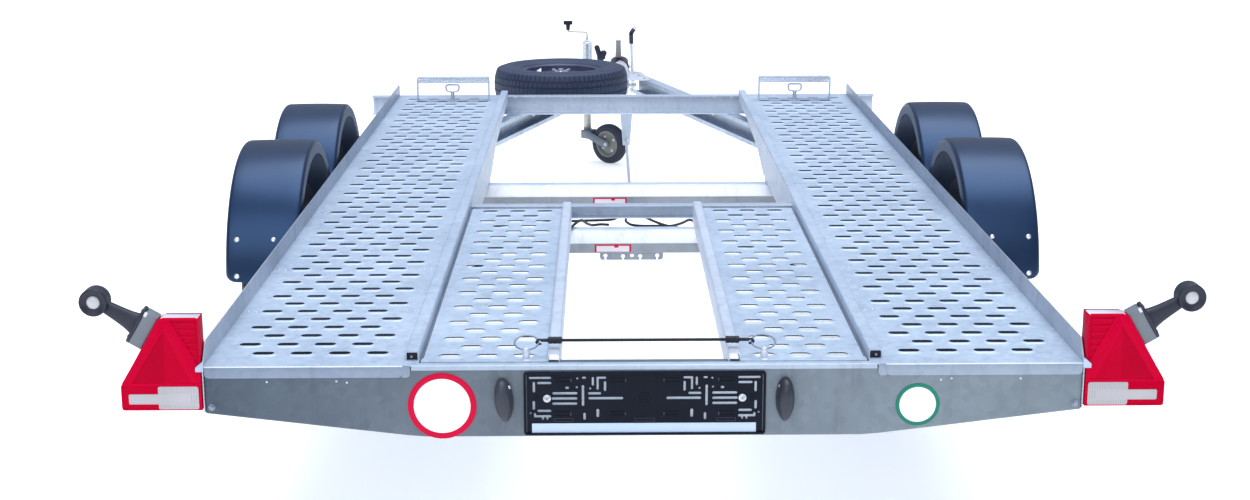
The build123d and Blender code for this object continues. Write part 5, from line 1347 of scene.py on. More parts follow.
# ---------------------------------------------------------------- number plate holder
b = Build()
HX = 0.5
DZH = -3.2          # the holder's own centre line lies this much lower than the marks' reference
rects = [(-230.7, -31.3, 49.8, 5.7), (-221.8, -43.0, 31.6, 6.0), (-244.6, -52.4, 5.5, 24.8), (-245.2, -94.5, 5.6, 20.5),
         (-176.4, -66.9, 55.4, 6.2), (-177.2, -78.9, 56.7, 6.2), (-176.7, -90.9, 55.5, 6.2), (-136.5, -72.4, 5.5, 48.9),
         (-222.1, -107.4, 30.5, 6.0), (-114.6, -39.7, 4.9, 20.4), (-87.8, -51.0, 5.3, 23.1), (-110.6, -67.4, 28.8, 6.0),
         (-86.1, -78.7, 77.1, 6.4), (-103.9, -113.1, 6.2, 19.7), (-133.3, -120.4, 5.4, 17.0)]
dots = [(-171.4, -54.3, 8.4, 6.3), (-150.2, -53.1, 5.0, 5.2), (-148.8, -32.8, 5.0, 5.2), (-134.0, -31.2, 9.2, 5.4),
        (-120.6, -56.0, 5.0, 5.2), (-252.3, -112.3, 4.2, 4.4)]
ells = [[(-106.5, -58.9), (-101.6, -58.9), (-101.6, -34.2), (-85.4, -34.2), (-85.4, -28.7), (-106.5, -28.7)],
        [(-245.1, -122.9), (-227.4, -122.9), (-227.4, -128.1), (-223.3, -128.1), (-223.3, -122.9), (-217.6, -122.9),
         (-217.6, -128.1), (-213.5, -128.1), (-213.5, -122.9), (-207.0, -122.9), (-207.0, -117.0), (-240.6, -117.0),
         (-240.6, -112.3), (-245.1, -112.3)]]
holes = []
for x, z, w, h_ in rects + dots:
    r = min(w, h_) / 2 * 0.96
    pts = rounded(x - w / 2, z - h_ / 2, x + w / 2, z + h_ / 2, r, 4)
    holes.append(pts)
for pts in ells:
    holes.append(round_poly(pts, 1.4, 2))
all_holes = []
for pts in holes:
    all_holes.append([((x + HX) / 1000, z / 1000) for x, z in pts])
    all_holes.append([((-x + HX) / 1000, z / 1000) for x, z in reversed(pts)])
panel = rounded(-0.2600 + HX / 1000, -0.1600, 0.2600 + HX / 1000, -0.0200, 0.004, 4)

hold = lambda u, v, w: (u, Y(-0.6) - w, DZ + 0.002 + v)
pierced_panel(b, panel, all_holes, hold, 0.0001, 0.0018, "plate_black")
# lighter zinc just behind the panel, seen through its slots: painted light on the beam face that the holder shades
slab(b, rounded(-0.2560, -0.1560, 0.2570, -0.0240, 0.002, 3), lambda u, v, w: (u, Y(-0.45) - w, DZ + 0.002 + v), 0.0, 0.0002, "galv_backing_painted_light", edge=0.0, both=False)
rim = rounded(-0.2668, -0.1628, 0.2678, -0.0172, 0.0072, 6)
ring_slab(b, rim, hold, 0.0052, 0.0, 0.0070, "plate_black", edge=0.0018)
# centre boss with its ring, and faint upright ribs
hb = (HX / 1000, Y(-2.4), Z(-76.0))
torus(b, hb, (0, 1, 0), 0.0125, 0.0009, "plate_black", 40, 8)
torus(b, hb, (0, 1, 0), 0.0048, 0.0009, "plate_black", 28, 8)
for x in (-0.0285, 0.0285):
    slab(b, [(x + HX / 1000 - 0.0006, -0.128), (x + HX / 1000 + 0.0006, -0.128), (x + HX / 1000 + 0.0006, -0.024), (x + HX / 1000 - 0.0006, -0.024)], hold, 0.0016, 0.0024, "plate_black", edge=0.0003, steps=1, both=False)
# spring clips: tongues with a light step at one end
for x0, x1, z0, z1 in ((-198.2, -161.5, -40.7, -30.6), (-76.9, -41.0, -41.6, -31.6), (-199.2, -162.4, -119.7, -108.3), (-76.1, -41.3, -118.5, -109.3)):
    for m_ in (1, -1):
        xa, xb = sorted((m_ * x0 + HX, m_ * x1 + HX))
        ring_slab(b, rounded(xa / 1000, z0 / 1000, xb / 1000, z1 / 1000, 0.0015, 3), hold, 0.0016, 0.0016, 0.0030, "plate_black", edge=0.0004)
        xt = (m_ * x1 + HX) / 1000
        slab(b, rounded(min(xt, xt - m_ * 0.0026), z0 / 1000 + 0.001, max(xt, xt - m_ * 0.0026), z1 / 1000 - 0.001, 0.0008, 2), hold, 0.0020, 0.0034, "plate_edge", edge=0.0004, steps=1, both=False)
for x0, x1 in ((-201.5, -158.3), (-22.2, 22.5), (158.3, 201.5)):
    ring_slab(b, rounded((x0 + HX) / 1000, -0.1322, (x1 + HX) / 1000, -0.1244, 0.0008, 2), hold, 0.0010, 0.0016, 0.0027, "plate_edge", edge=0.0003)
# dark dimples beside the screws, and the screws
for m_ in (-1, 1):
    torus(b, ((m_ * 239.0 + HX) / 1000, Y(-2.4), Z(-74.0)), (0, 1, 0), 0.0046, 0.0012, "plate_black", 24, 8)
    pos = ((m_ * 215.8 + HX) / 1000, Y(-2.4), Z(-76.5))
    lathe(b, pos, (0, -1, 0), [(0.0, 0.0086), (0.0010, 0.0088), (0.0016, 0.0080)], "zinc", 32)
    dome(b, (pos[0], pos[1] - 0.0014, pos[2]), (0, -1, 0), 0.0062, 0.0034, "zinc", 24)
    for t in (0.4, 0.4 + math.pi / 2):
        d_ = Vector((math.cos(t), 0, math.sin(t)))
        slab(b, [(-0.0032, -0.0005), (0.0032, -0.0005), (0.0032, 0.0005), (-0.0032, 0.0005)], frame_place((pos[0], pos[1] - 0.0046, pos[2]), (0, -1, 0), x=d_), -0.0004, 0.0004, "plate_black", edge=0.0)
# blank light strip along the lower edge
slab(b, rounded(-0.2492, -0.1586, 0.2470, -0.1360, 0.0012, 3), hold, 0.0014, 0.0030, "blue_strip", edge=0.0006, steps=2, both=False)
b.object("plate_holder_panel", "chassis", sharp=32, replaces=["plate_holder"])

# ---------------------------------------------------------------- rubber buffers
b = Build()
for x0, tilt, bs in ((-0.310, 0.10, 1), (0.310, -0.02, -1)):
    V, F = [], []
    NU, NV = 20, 44
    for i in range(NU + 1):
        u = i / NU
        # height of the shell and how far its outline has drawn in
        t = u * math.pi / 2
        depth = 0.0375 * math.sin(t) ** 0.9
        shrink = math.cos(t) ** 0.62 if u < 1 else 0.0
        for j in range(NV):
            a_ = 2 * math.pi * j / NV
            ca, sa = math.cos(a_), math.sin(a_)
            # leaf: broad upper part, drawn to a blunt point below
            wz = 0.0495 * (1.0 if sa > 0 else 1.0)
            wx = 0.0205 * (1.0 - 0.22 * max(0.0, -sa) ** 2 + 0.03 * max(0.0, sa))
            x = wx * abs(ca) ** 0.94 * (1 if ca > 0 else -1) * shrink
            z = wz * sa * shrink
            x += -0.0028 * bs * (depth / 0.0375) * 0.6
            V.append((x0 + x * math.cos(tilt) - z * math.sin(tilt), Y(-0.4) - depth, Z(-79.0) + x * math.sin(tilt) + z * math.cos(tilt)))
    for i in range(NU):
        for j in range(NV):
            j2 = (j + 1) % NV
            F.append((i * NV + j, i * NV + j2, (i + 1) * NV + j2, (i + 1) * NV + j))
    F.append(tuple(reversed(range(NV))))
    b.add(V, F, "buffer")
    # fixing screw let into the upper inner side
    pos = Vector((x0 + bs * 0.012, Y(-13.0), Z(-47.0)))
    lathe(b, pos, Vector((bs * 0.55, -0.7, 0.45)), [(-0.004, 0.0062), (0.0, 0.0062), (0.0012, 0.0054)], "rubber", 20)
    dome(b, pos + Vector((bs * 0.55, -0.7, 0.45)).normalized() * 0.0008, Vector((bs * 0.55, -0.7, 0.45)), 0.0042, 0.0022, "zinc", 16)
b.object("buffer_domes", "chassis", sharp=50, replaces=["buffers"])
# ---------------------------------------------------------------- side rails and inner rails
def side_plane(x, s_):
    """Outline in Y and Z, height outwards along s_ * X from x."""
    return lambda u, v, w: (x + s_ * w, u, v)


for s_, sname in ((-1.0, "left"), (1.0, "right")):
    b = Build()
    # web in a darker copy of the zinc, lighter towards the rear end: painted shade and light
    web = [(Y(0), Z(-106)), (Y(3900), Z(-106)), (Y(3956), Z(-82)), (Y(3956), Z(2)), (Y(4000), Z(2)), (Y(4000), Z(34)),
           (Y(3985), Z(48)), (Y(40), Z(48)), (Y(0), Z(0))]
    slab(b, round_poly(web, [0.002, 0.01, 0.003, 0.001, 0.003, 0.006, 0.006, 0.014, 0.006], 4), side_plane(s_ * 0.969, s_), 0.0, 0.003, "galv_lip_painted_light", edge=0.0009, steps=2)
    fl = [(s_ * 0.898, Y(66)), (s_ * 0.9695, Y(66)), (s_ * 0.9695, Y(3896)), (s_ * 0.898, Y(3896))]
    if s_ < 0:
        fl.reverse()
    slab(b, round_poly(fl, 0.004, 3), plane_xy(Z(-106)), 0.0, 0.003, "galv_frame", edge=0.0008, steps=1)
    # round fold where the web turns into the lower flange, in the web's darker zinc: painted shade
    tube(b, [(s_ * 0.9692, Y(66), Z(-103.2)), (s_ * 0.9692, Y(3896), Z(-103.2))], 0.0028, "galv_lip_painted_light", 12)
    # bolts of the mudguard stays, through the rail
    for dy in (0.0, 738.0):
        for off in (-290.0, 290.0):
            for z in (-70.0, -20.0):
                dome(b, (s_ * 0.969, Y(1755 + dy + off), Z(z)), (-s_, 0, 0), 0.0065, 0.0035, "zinc", 14, flange=0.0095)
    b.object("side_rail_shell_" + sname, "chassis", sharp=38, replaces=["side_rail_" + sname])

    b = Build()
    inner = [(Y(0), Z(-2.6)), (Y(64), Z(-2.6)), (Y(64), Z(-42)), (Y(1590), Z(-42)), (Y(1740), Z(-106)), (Y(2740), Z(-106)),
             (Y(3000), Z(-58)), (Y(3500), Z(-30)), (Y(3956), Z(-25)), (Y(3956), Z(0.5)), (Y(3994), Z(0.5)), (Y(3994), Z(14)), (Y(44), Z(14)), (Y(44), Z(-0.6)), (Y(0), Z(-0.6))]
    outer = [(Y(0), Z(-2.6)), (Y(64), Z(-2.6)), (Y(64), Z(-40)), (Y(3956), Z(-40)), (Y(3956), Z(0.5)), (Y(3994), Z(0.5)), (Y(3994), Z(14)), (Y(44), Z(14)), (Y(44), Z(-0.6)), (Y(0), Z(-0.6))]
    rr = [0.0005, 0.001, 0.004, 0.05, 0.05, 0.05, 0.05, 0.05, 0.004, 0.001, 0.001, 0.0, 0.0, 0.0005, 0.0005]
    # inner face in a lighter copy of the zinc than the outer: painted light
    slab(b, round_poly(inner, rr, 5), side_plane(s_ * 0.500, s_), 0.0, 0.003, "inner_web_painted_light", edge=0.0006, steps=1)
    slab(b, round_poly(outer, [0.0005, 0.001, 0.004, 0.004, 0.001, 0.001, 0.0, 0.0, 0.0005, 0.0005], 3), side_plane(s_ * 0.527, s_), 0.0, 0.003, "galv_frame", edge=0.0006, steps=1)
    cap = [(0.5, 0.0135)] + [(0.5 + 0.004 * (1 - math.cos(t)), 0.016 + 0.004 * math.sin(t)) for t in np.linspace(0, math.pi / 2, 5)]
    cap += [(0.53 - 0.004 * (1 - math.cos(t)), 0.016 + 0.004 * math.sin(t)) for t in np.linspace(math.pi / 2, 0, 5)] + [(0.53, 0.0135), (0.5272, 0.0135), (0.5268, 0.0155), (0.5255, 0.0168),
            (0.5045, 0.0168), (0.5032, 0.0155), (0.5028, 0.0135)]
    path = [((0, Y(44.2), DZ), (s_, 0, 0), (0, 0, 1)), ((0, Y(3993.8), DZ), (s_, 0, 0), (0, 0, 1))]
    if s_ > 0:
        path.reverse()
    bent(b, cap, path, "galv_deck")
    # dark plug in the open rear end, and the flat tongue that runs on to the sill
    x0, x1 = sorted((s_ * 0.5036, s_ * 0.5266))
    slab(b, round_poly([(x0, 0.0004), (x1, 0.0004), (x1, 0.0162), (x0, 0.0162)], 0.0022, 3), lambda u, v, w: (u, Y(60.0) - w, DZ + v), 0.0, 0.0140, "rubber", edge=0.0012, steps=2)
    bolt(b, (s_ * 0.5165, Y(45.6), Z(7.0)), (0, -1, 0), r=0.0030, h=0.0020, washer=False, mat="pin_steel")
    x0, x1 = sorted((s_ * 0.4988, s_ * 0.5322))
    slab(b, [(x0, Y(0.2)), (x1, Y(0.2)), (x1, Y(58)), (x0, Y(58))], plane_xy(Z(-2.6)), 0.0, 0.0022, "galv_deck", edge=0.0, steps=1)
    b.object("inner_rail_shell_" + sname, "chassis", sharp=38, replaces=["inner_rail_" + sname])

# ---------------------------------------------------------------- middle and front cross members
def channel(b, y_back, y_web, z_top, z_bot, t, x0, x1, mat, r=0.004, web_mat=None):
    """Channel along X, open to the rear, with rounded outer corners and slightly rounded lips."""
    oy = y_web
    sec = [(y_back, z_top - t), (y_back, z_top - 0.0008), (y_back + 0.0008, z_top)]
    sec += [(oy - r + r * math.sin(a_), z_top - r + r * math.cos(a_)) for a_ in np.linspace(0, math.pi / 2, 5)]
    sec += [(oy - r + r * math.cos(a_), z_bot + r - r * math.sin(a_)) for a_ in np.linspace(0, math.pi / 2, 5)]
    sec += [(y_back + 0.0008, z_bot), (y_back, z_bot + 0.0008), (y_back, z_bot + t)]
    ri = max(0.0008, r - t)
    sec += [(oy - t - ri + ri * math.cos(a_), z_bot + t + ri - ri * math.sin(a_)) for a_ in np.linspace(math.pi / 2, 0, 4)]
    sec += [(oy - t - ri + ri * math.sin(a_), z_top - t - ri + ri * math.cos(a_)) for a_ in np.linspace(math.pi / 2, 0, 4)]
    # section is clockwise seen from +X: run it so that faces point outwards
    n_ = 24
    path = [((x0 + (x1 - x0) * i / n_, 0, 0), (0, 1, 0), (0, 0, 1)) for i in range(n_ + 1)]
    bent(b, sec[::-1], path, mat, caps=False)
    k_ = len(sec)
    for x, rev in ((x0, True), (x1, False)):
        cv, ce, cf, *_ = geometry.delaunay_2d_cdt([Vector(p_) for p_ in sec], [(i, (i + 1) % k_) for i in range(k_)], [], 1, 1e-7)
        V = [(x, p_.x, p_.y) for p_ in cv]
        G = []
        for f in cf:
            a, b_, c3 = (cv[j] for j in f[:3])
            ccw = (b_.x - a.x) * (c3.y - a.y) - (b_.y - a.y) * (c3.x - a.x) > 0
            G.append(tuple(reversed(f)) if ccw == rev else tuple(f))
        b.add(V, G, mat)


b = Build()
# front channel in a lighter copy of the zinc, darkened under its top flange: painted light and shadow
channel(b, Y(3958), Y(4010), Z(0), Z(-80), 0.004, -1.087, 1.087, "front_web_painted_light", r=0.007)
hang = [(-0.014, Z(-79)), (-0.003, Z(-218)), (0.027, Z(-218)), (0.038, Z(-79))]
pierced_panel(b, round_poly(hang, [0.001, 0.006, 0.006, 0.001], 4), [[(0.012 + 0.0082 * math.cos(t), Z(-180 - 37 * (5000 - 3968.5) / 2440.0) + 0.0082 * math.sin(t)) for t in np.linspace(0, 2 * math.pi, 17)[:-1]]],
              lambda u, v, w: (u, Y(3971) - w, v), 0.0, 0.005, "galv_frame")
for x in (-0.470, 0.470, -0.395, 0.395):
    bolt(b, (x, Y(3984), Z(-4.2)), (0, 0, -1), r=0.0085, h=0.007)
    bolt(b, (x, Y(3984), Z(-80.0)), (0, 0, -1), r=0.0085, h=0.007)
b.object("front_beam_shell", "chassis", sharp=38, replaces=["front_beam"])

b = Build()
# middle channel in the same lighter copy, darkened under its top flange: painted light and shadow
channel(b, Y(1680), Y(1722), Z(0), Z(-41), 0.003, -0.500, 0.500, "front_web_painted_light", r=0.005)
b.object("middle_beam_shell", "chassis", sharp=38, replaces=["middle_beam"])

# ---------------------------------------------------------------- hexagonal axle tubes
for nm, yt, rear_one in (("rear_axle", Y(1900), True), ("front_axle", Y(2638), False)):
    b = Build()
    zc = Z(-160.0)
    af = 0.039
    R6 = af / math.cos(math.pi / 6)
    rnd = 0.006
    hexa = round_poly([(yt + R6 * math.cos(math.pi / 3 * i), zc + R6 * math.sin(math.pi / 3 * i)) for i in range(6)], rnd, 4)
    k_ = len(hexa)
    xs = np.linspace(-0.926, 0.926, 41)
    V = [(x, p_[0], p_[1]) for x in xs for p_ in hexa]
    # each facet takes a copy of the zinc by the way it faces: bluish on top, near white on the upper sides, dark below:
    # painted sheen, highlight and shade
    per = {"tube_top_painted_sheen": [], "tube_painted_highlight": [], "tube_painted_shade": []}
    for i in range(len(xs) - 1):
        for j in range(k_):
            j2 = (j + 1) % k_
            a_ = math.degrees(math.atan2((hexa[j][1] + hexa[j2][1]) / 2 - zc, (hexa[j][0] + hexa[j2][0]) / 2 - yt)) % 360
            zm = (hexa[j][1] + hexa[j2][1]) / 2
            kind = "tube_top_painted_sheen" if 60 < a_ < 120 or zm > zc + 0.028 else ("tube_painted_highlight" if a_ <= 60 or 120 <= a_ < 182 else "tube_painted_shade")
            per[kind].append((i * k_ + j, i * k_ + j2, (i + 1) * k_ + j2, (i + 1) * k_ + j))
    k0 = len(b.v)
    b.v.extend(V)
    for kind, fs in per.items():
        i_m = b.mat(kind)
        for f in fs:
            b.f.append(tuple(k0 + q for q in reversed(f)))
            b.m.append(i_m)
            b.s.append(True)
    # rubber cores inside the ends, behind end plates in the tubes' dark copy: painted shade
    ring_in = [(0.031 * math.cos(t), 0.031 * math.sin(t)) for t in np.linspace(0, 2 * math.pi, 25)[:-1]]
    for s_ in (-1, 1):
        pl = (lambda s__: (lambda u, v, w: (s__ * (0.926 - 0.002 + w), yt + u, zc + v)))(s_)
        hx = [(p_[0] - yt, p_[1] - zc) for p_ in hexa]
        pierced_panel(b, hx, [ring_in], pl, 0.0, 0.002, "tube_painted_shade")
        lathe(b, (s_ * 0.860, yt, zc), (s_, 0, 0), [(0.0, 0.0309), (0.064, 0.0309)], "rubber", 32, caps=False)
        for x, w_ in ((0.907, 0.038), (0.519, 0.038)):
            pad = [(s_ * x - w_ / 2, yt - 0.030), (s_ * x + w_ / 2, yt - 0.030), (s_ * x + w_ / 2, yt + 0.030), (s_ * x - w_ / 2, yt + 0.030)]
            slab(b, round_poly(pad, 0.003, 3), plane_xy(zc + af - 0.0005), 0.0, Z(-106) - (zc + af - 0.0005), "galv_frame", edge=0.0015, steps=2)
            for dy in (-0.018, 0.018):
                bolt(b, (s_ * x, yt + dy, Z(-103.0)), (0, 0, 1), r=0.0085, h=0.007)
    if rear_one:
        # carrier plate of the cables: rounded corners, round eyes with slots below
        zt, zb = zc - af + 0.001, zc - af - 0.027
        outl = round_poly([(-0.101, zb), (0.104, zb), (0.104, zt), (-0.101, zt)], [0.009, 0.009, 0.001, 0.001], 5)
        # keyholes are notches in the lower edge
        pts = [(-0.101, zt)]
        pts += [(-0.101, zb + 0.009)] + [(-0.092 - 0.009 * math.cos(t), zb + 0.009 - 0.009 * math.sin(t)) for t in np.linspace(0, math.pi / 2, 5)][1:]
        for cx_, cz_ in ((-0.083, -0.013), (-0.026, -0.015), (0.030, -0.015), (0.085, -0.013)):
            zc2 = zc - af + cz_
            pts += [(cx_ - 0.0025, zb)]
            for t in np.linspace(-math.pi / 2 - 0.4, -math.pi / 2 - 2 * math.pi + 0.4, 18):
                pts.append((cx_ + 0.0065 * math.cos(t), zc2 + 0.0065 * math.sin(t)))
            pts += [(cx_ + 0.0025, zb)]
        pts += [(0.095 + 0.009 * math.sin(t), zb + 0.009 - 0.009 * math.cos(t)) for t in np.linspace(0, math.pi / 2, 5)]
        pts += [(0.104, zt)]
        hole = [(0.003 + 0.006 * math.cos(t), zc - af - 0.013 + 0.006 * math.sin(t)) for t in np.linspace(0, 2 * math.pi, 17)[:-1]]
        pierced_panel(b, pts, [hole], lambda u, v, w: (u, yt - 0.003 + 0.005 - w, v), 0.0, 0.005, "galv_carrier")
    # blank red and white sticker on the lower rear facet
    n3 = Vector((0, -math.cos(math.pi / 6), -math.sin(math.pi / 6)))
    up3 = Vector((0, -math.sin(math.pi / 6), math.cos(math.pi / 6)))
    for x0, x1 in ((-0.1175, 0.0),) if rear_one else ((-0.1260, -0.004),):
        c0 = Vector(((x0 + x1) / 2, yt, zc)) + n3 * af
        fpl = (lambda c__: (lambda u, v, w: tuple(c__ + Vector((1, 0, 0)) * u + up3 * v + n3 * w)))(c0)
        hw2 = (x1 - x0) / 2
        slab(b, rounded(-hw2, -0.0165, hw2, 0.0165, 0.0015, 3), fpl, 0.0, 0.0006, "red_vinyl", edge=0.0002, steps=1, both=False)
        slab(b, rounded(-hw2 + 0.006, -0.0150, hw2 - 0.006, 0.0105, 0.0012, 3), fpl, 0.0004, 0.0009, "label_pink", edge=0.0002, steps=1, both=False)
        slab(b, rounded(0.004, 0.0030, 0.018, 0.0112, 0.001, 2), fpl, 0.0006, 0.0011, "red_vinyl", edge=0.0002, steps=1, both=False)
    b.object(nm + "_shell", "chassis", sharp=34, replaces=[nm])
# ---------------------------------------------------------------- wheel stops
b = Build()
for s_, xa, xb in ((-1.0, -0.877, -0.571), (1.0, 0.573, 0.879)):
    # hoop of flat bar: section 25 mm across and 4.6 mm thick, bent with round corners
    pts = arc_path([(xa + 0.0025, 0, Z(0.4)), (xa + 0.0025, 0, Z(99.5)), (xb - 0.0025, 0, Z(99.5)), (xb - 0.0025, 0, Z(0.4))], 0.006, 6)
    path = []
    for i, p_ in enumerate(pts):
        t = (pts[min(i + 1, len(pts) - 1)] - pts[max(i - 1, 0)]).normalized()
        nx = Vector((t.z, 0, -t.x))
        path.append(((p_.x, Y(3838.0), p_.z), nx, (0, 1, 0)))
    sec = rounded(-0.0023, -0.0195, 0.0023, 0.0195, 0.0009, 2)
    bent(b, sec, path, "galv_rail")
    # turned-down lip along the top, in a near-white zinc: painted light on its rear-facing face
    slab(b, rounded(xa + 0.004, Z(77.0), xb - 0.004, Z(99.0), 0.002, 3), plane_xz(Y(3822.0)), 0.0, 0.0028, "bright", edge=0.0008, steps=2)
    # foot strip, flat; its turned-down ends are not drawn
    slab(b, rounded(xa + 0.005, Y(3818), xb - 0.005, Y(3858), 0.003, 3), plane_xy(Z(0.3)), 0.0, 0.0038, "galv_frame", edge=0.001, steps=2, both=False)
    # quick pin: stem with a D-shaped pull
    px_ = s_ * 0.728
    lathe(b, (px_, Y(3838), Z(3.8)), (0, 0, 1), [(0.0, 0.0125), (0.0035, 0.0125), (0.0045, 0.0105), (0.0046, 0.0082), (0.034, 0.0082), (0.0365, 0.0070)], "zinc", 24)
    loop = arc_path([(px_ - 0.006, Y(3838), Z(37.5)), (px_ - 0.026, Y(3838), Z(42.5)), (px_ - 0.029, Y(3838), Z(68.0)), (px_ + 0.029, Y(3838), Z(68.0)),
                     (px_ + 0.026, Y(3838), Z(42.5)), (px_ + 0.006, Y(3838), Z(37.5))], 0.010, 8)
    tube(b, loop, 0.0038, "pale_zinc", 12)
    for x in (xa + 0.035, xb - 0.035):
        dome(b, (x, Y(3846), Z(4.0)), (0, 0, 1), 0.006, 0.003, "zinc", 14, flange=0.008)
b.object("stop_hoops", "chassis", sharp=38, replaces=["wheel_stops"])

# ---------------------------------------------------------------- stays of the mudguards
b = Build()
for s_ in (-1.0, 1.0):
    for dy in (0.0, 738.0):
        for off in (-290.0, 290.0):
            x0, x1 = sorted((s_ * 0.9722, s_ * 0.9868))
            yy = Y(1755 + dy + off)
            slab(b, rounded(x0, yy - 0.0198, x1, yy + 0.0198, 0.003, 3), plane_xy(Z(-95)), 0.0, 0.124, "guard", edge=0.0015, steps=2)
            for z in (-66.0, -22.0):
                bolt(b, (s_ * 0.9868, yy, Z(z)), (s_, 0, 0), r=0.0065, h=0.005)
b.object("guard_stays", "chassis", sharp=38, replaces=["mudguard_brackets"])

# ---------------------------------------------------------------- drawbar: bolts at its brackets and through its nose
b = Build()
for s_ in (-1.0, 1.0):
    for v in (3005.0, 3360.0):
        xm = (570.0 - 0.31 * (v - 3564.0) + 27.0) / 1000.0
        for dy in (-0.0, ):
            bolt(b, (s_ * xm, Y(v + dy), Z(-84.0)), (0, 0, -1), r=0.0085, h=0.0075, nut=True)
    for v in (3975.0, 3998.0):
        xm = (570.0 - 0.31 * (v - 3564.0) + 24.0) / 1000.0
    # coupling bolts through the drawbar's nose
    for v in (5030.0, 5180.0):
        xm = (570.0 - 0.31 * (v - 3564.0)) / 1000.0
        for z in (-100.0, -150.0):
            bolt(b, (s_ * (xm + 0.0535), Y(v), Z(z)), (s_, 0.31 * s_ * s_, 0), r=0.0095, h=0.008, nut=True)
    for v in (5020.0, 5110.0, 5200.0):
        xm = (570.0 - 0.31 * (v - 3564.0) + 20.0) / 1000.0
        if xm < 0.145:
            bolt(b, (s_ * xm * 0.86, Y(v), Z(-73.8)), (0, 0, 1), r=0.008, h=0.0065)
b.object("drawbar_bolts", "chassis")

# ---------------------------------------------------------------- overrun device and coupling
b = Build()
# top plate with a rounded nose
plate = round_poly([(-0.150, Y(4990)), (0.150, Y(4990)), (0.104, Y(5262)), (0.084, Y(5290)), (-0.084, Y(5290)), (-0.104, Y(5262))], [0.012, 0.012, 0.02, 0.02, 0.02, 0.02], 5)
slab(b, plate, plane_xy(Z(-79.8)), 0.0, 0.006, "pale_zinc", edge=0.0015, steps=2)
# round-topped body
sec = []
for t in np.linspace(0, math.pi, 17):
    sec.append((0.038 * math.cos(t), -0.069 + 0.038 * math.sin(t)))
sec += [(-0.038, -0.153), (-0.034, -0.157), (0.034, -0.157), (0.038, -0.153)]
slab(b, sec, lambda u, v, w: (u, Y(5360) - w, DZ + v), 0.0, 0.300, "pale_zinc", edge=0.004, steps=3)
fl = rounded(-0.046, -0.158, 0.046, -0.066, 0.012, 6)
slab(b, fl, lambda u, v, w: (u, Y(5368) - w, DZ + v), 0.0, 0.008, "pale_zinc", edge=0.0012, steps=2)
for x in (-0.036, 0.036):
    for z in (-148.0, -76.0):
        bolt(b, (x, Y(5360), Z(z)), (0, -1, 0), r=0.006, h=0.005, washer=False)
# brake arm
arm = [(Y(5001), Z(-194)), (Y(5022), Z(-194)), (Y(5072), Z(-150)), (Y(5072), Z(-120)), (Y(5056), Z(-120)), (Y(5001), Z(-168))]
slab(b, round_poly(arm, 0.004, 4), side_plane(0.006, 1.0), 0.0, 0.012, "galv_frame", edge=0.0015, steps=2)
lathe(b, (0, Y(5340), Z(-112)), (0, 1, 0), [(0.0, 0.041), (0.036, 0.041), (0.040, 0.038)], "pale_zinc", 40)
lathe(b, (0, Y(5372), Z(-112)), (0, 1, 0), [(0.0, 0.025), (0.178, 0.025)], "zinc", 32)
lathe(b, (0.0362, Y(5335), Z(-150)), (1, 0, 0), [(0.0, 0.018), (0.0085, 0.018), (0.0105, 0.016)], "pale_zinc", 32)
lathe(b, (0.040, Y(5335), Z(-150)), (1, 0, 0), [(0.0, 0.008), (0.040, 0.008), (0.0415, 0.0066)], "zinc", 24)
bolt(b, (0.0716, Y(5335), Z(-150)), (1, 0, 0), r=0.0095, h=0.0075)
# grease nipples on the body
for v in (5120.0, 5300.0):
    lathe(b, (0, Y(v), Z(-31.2)), (0, 0, 1), [(0.0, 0.005), (0.003, 0.005), (0.0035, 0.003), (0.007, 0.003), (0.0085, 0.0042), (0.010, 0.0030)], "zinc", 16)
b.object("overrun_shell", "chassis", sharp=38, replaces=["overrun_housing"])

# ribbed gaiter, smooth rings
b = Build()
prof = [(-0.0005, 0.027), (-0.0005, 0.0435)]
nn = 8
for i in range(7):
    for j in range(nn):
        u = (i + j / nn) * 0.022
        mid = 0.0405 - (i + j / nn) * 0.001
        prof.append((0.003 + u, mid + 0.0045 * math.cos(2 * math.pi * j / nn)))
prof += [(0.158, 0.0378), (0.1635, 0.0378), (0.1635, 0.027)]
lathe(b, (0, Y(5380.5), Z(-112)), (0, 1, 0), prof, "rubber", 48, caps=False)
lathe(b, (0, Y(5380.5), Z(-112)), (0, 1, 0), [(0.1635, 0.027), (-0.0005, 0.027)], "rubber", 48, caps=False)
b.object("gaiter_rings", "chassis", sharp=50, replaces=["overrun_gaiter"])

# release handle of the coupling: tapered grip with ribs and a pale top
b = Build()
axis_pts = [(5756, -61.5), (5752, -40), (5743, -12), (5735, 10), (5729, 34)]
wid = [16.6, 15.5, 14.0, 13.5, 14.0]
thk = [14.0, 11.5, 8.0, 7.0, 6.6]
V, F = [], []
K = 20
rows = []
for i in range(33):
    u = i / 32 * (len(axis_pts) - 1)
    j = min(int(u), len(axis_pts) - 2)
    f = u - j
    y = axis_pts[j][0] * (1 - f) + axis_pts[j + 1][0] * f
    z = axis_pts[j][1] * (1 - f) + axis_pts[j + 1][1] * f
    w_ = wid[j] * (1 - f) + wid[j + 1] * f
    t_ = thk[j] * (1 - f) + thk[j + 1] * f
    rib = 0.9 if 10 <= i <= 28 and i % 3 == 0 else 0.0
    rows.append((y, z, w_ - rib, t_ - rib))
for y, z, w_, t_ in rows:
    for q in range(K):
        t = 2 * math.pi * q / K
        ca, sa = math.cos(t), math.sin(t)
        V.append(P(-6.0 + w_ * abs(ca) ** 0.6 * (1 if ca > 0 else -1), y + t_ * abs(sa) ** 0.6 * (1 if sa > 0 else -1), z))
for i in range(len(rows) - 1):
    for q in range(K):
        q2 = (q + 1) % K
        F.append((i * K + q, i * K + q2, (i + 1) * K + q2, (i + 1) * K + q))
F.append(tuple(reversed(range(K))))
F.append(tuple((len(rows) - 1) * K + q for q in range(K)))
b.add(V, F, "handle_grey")
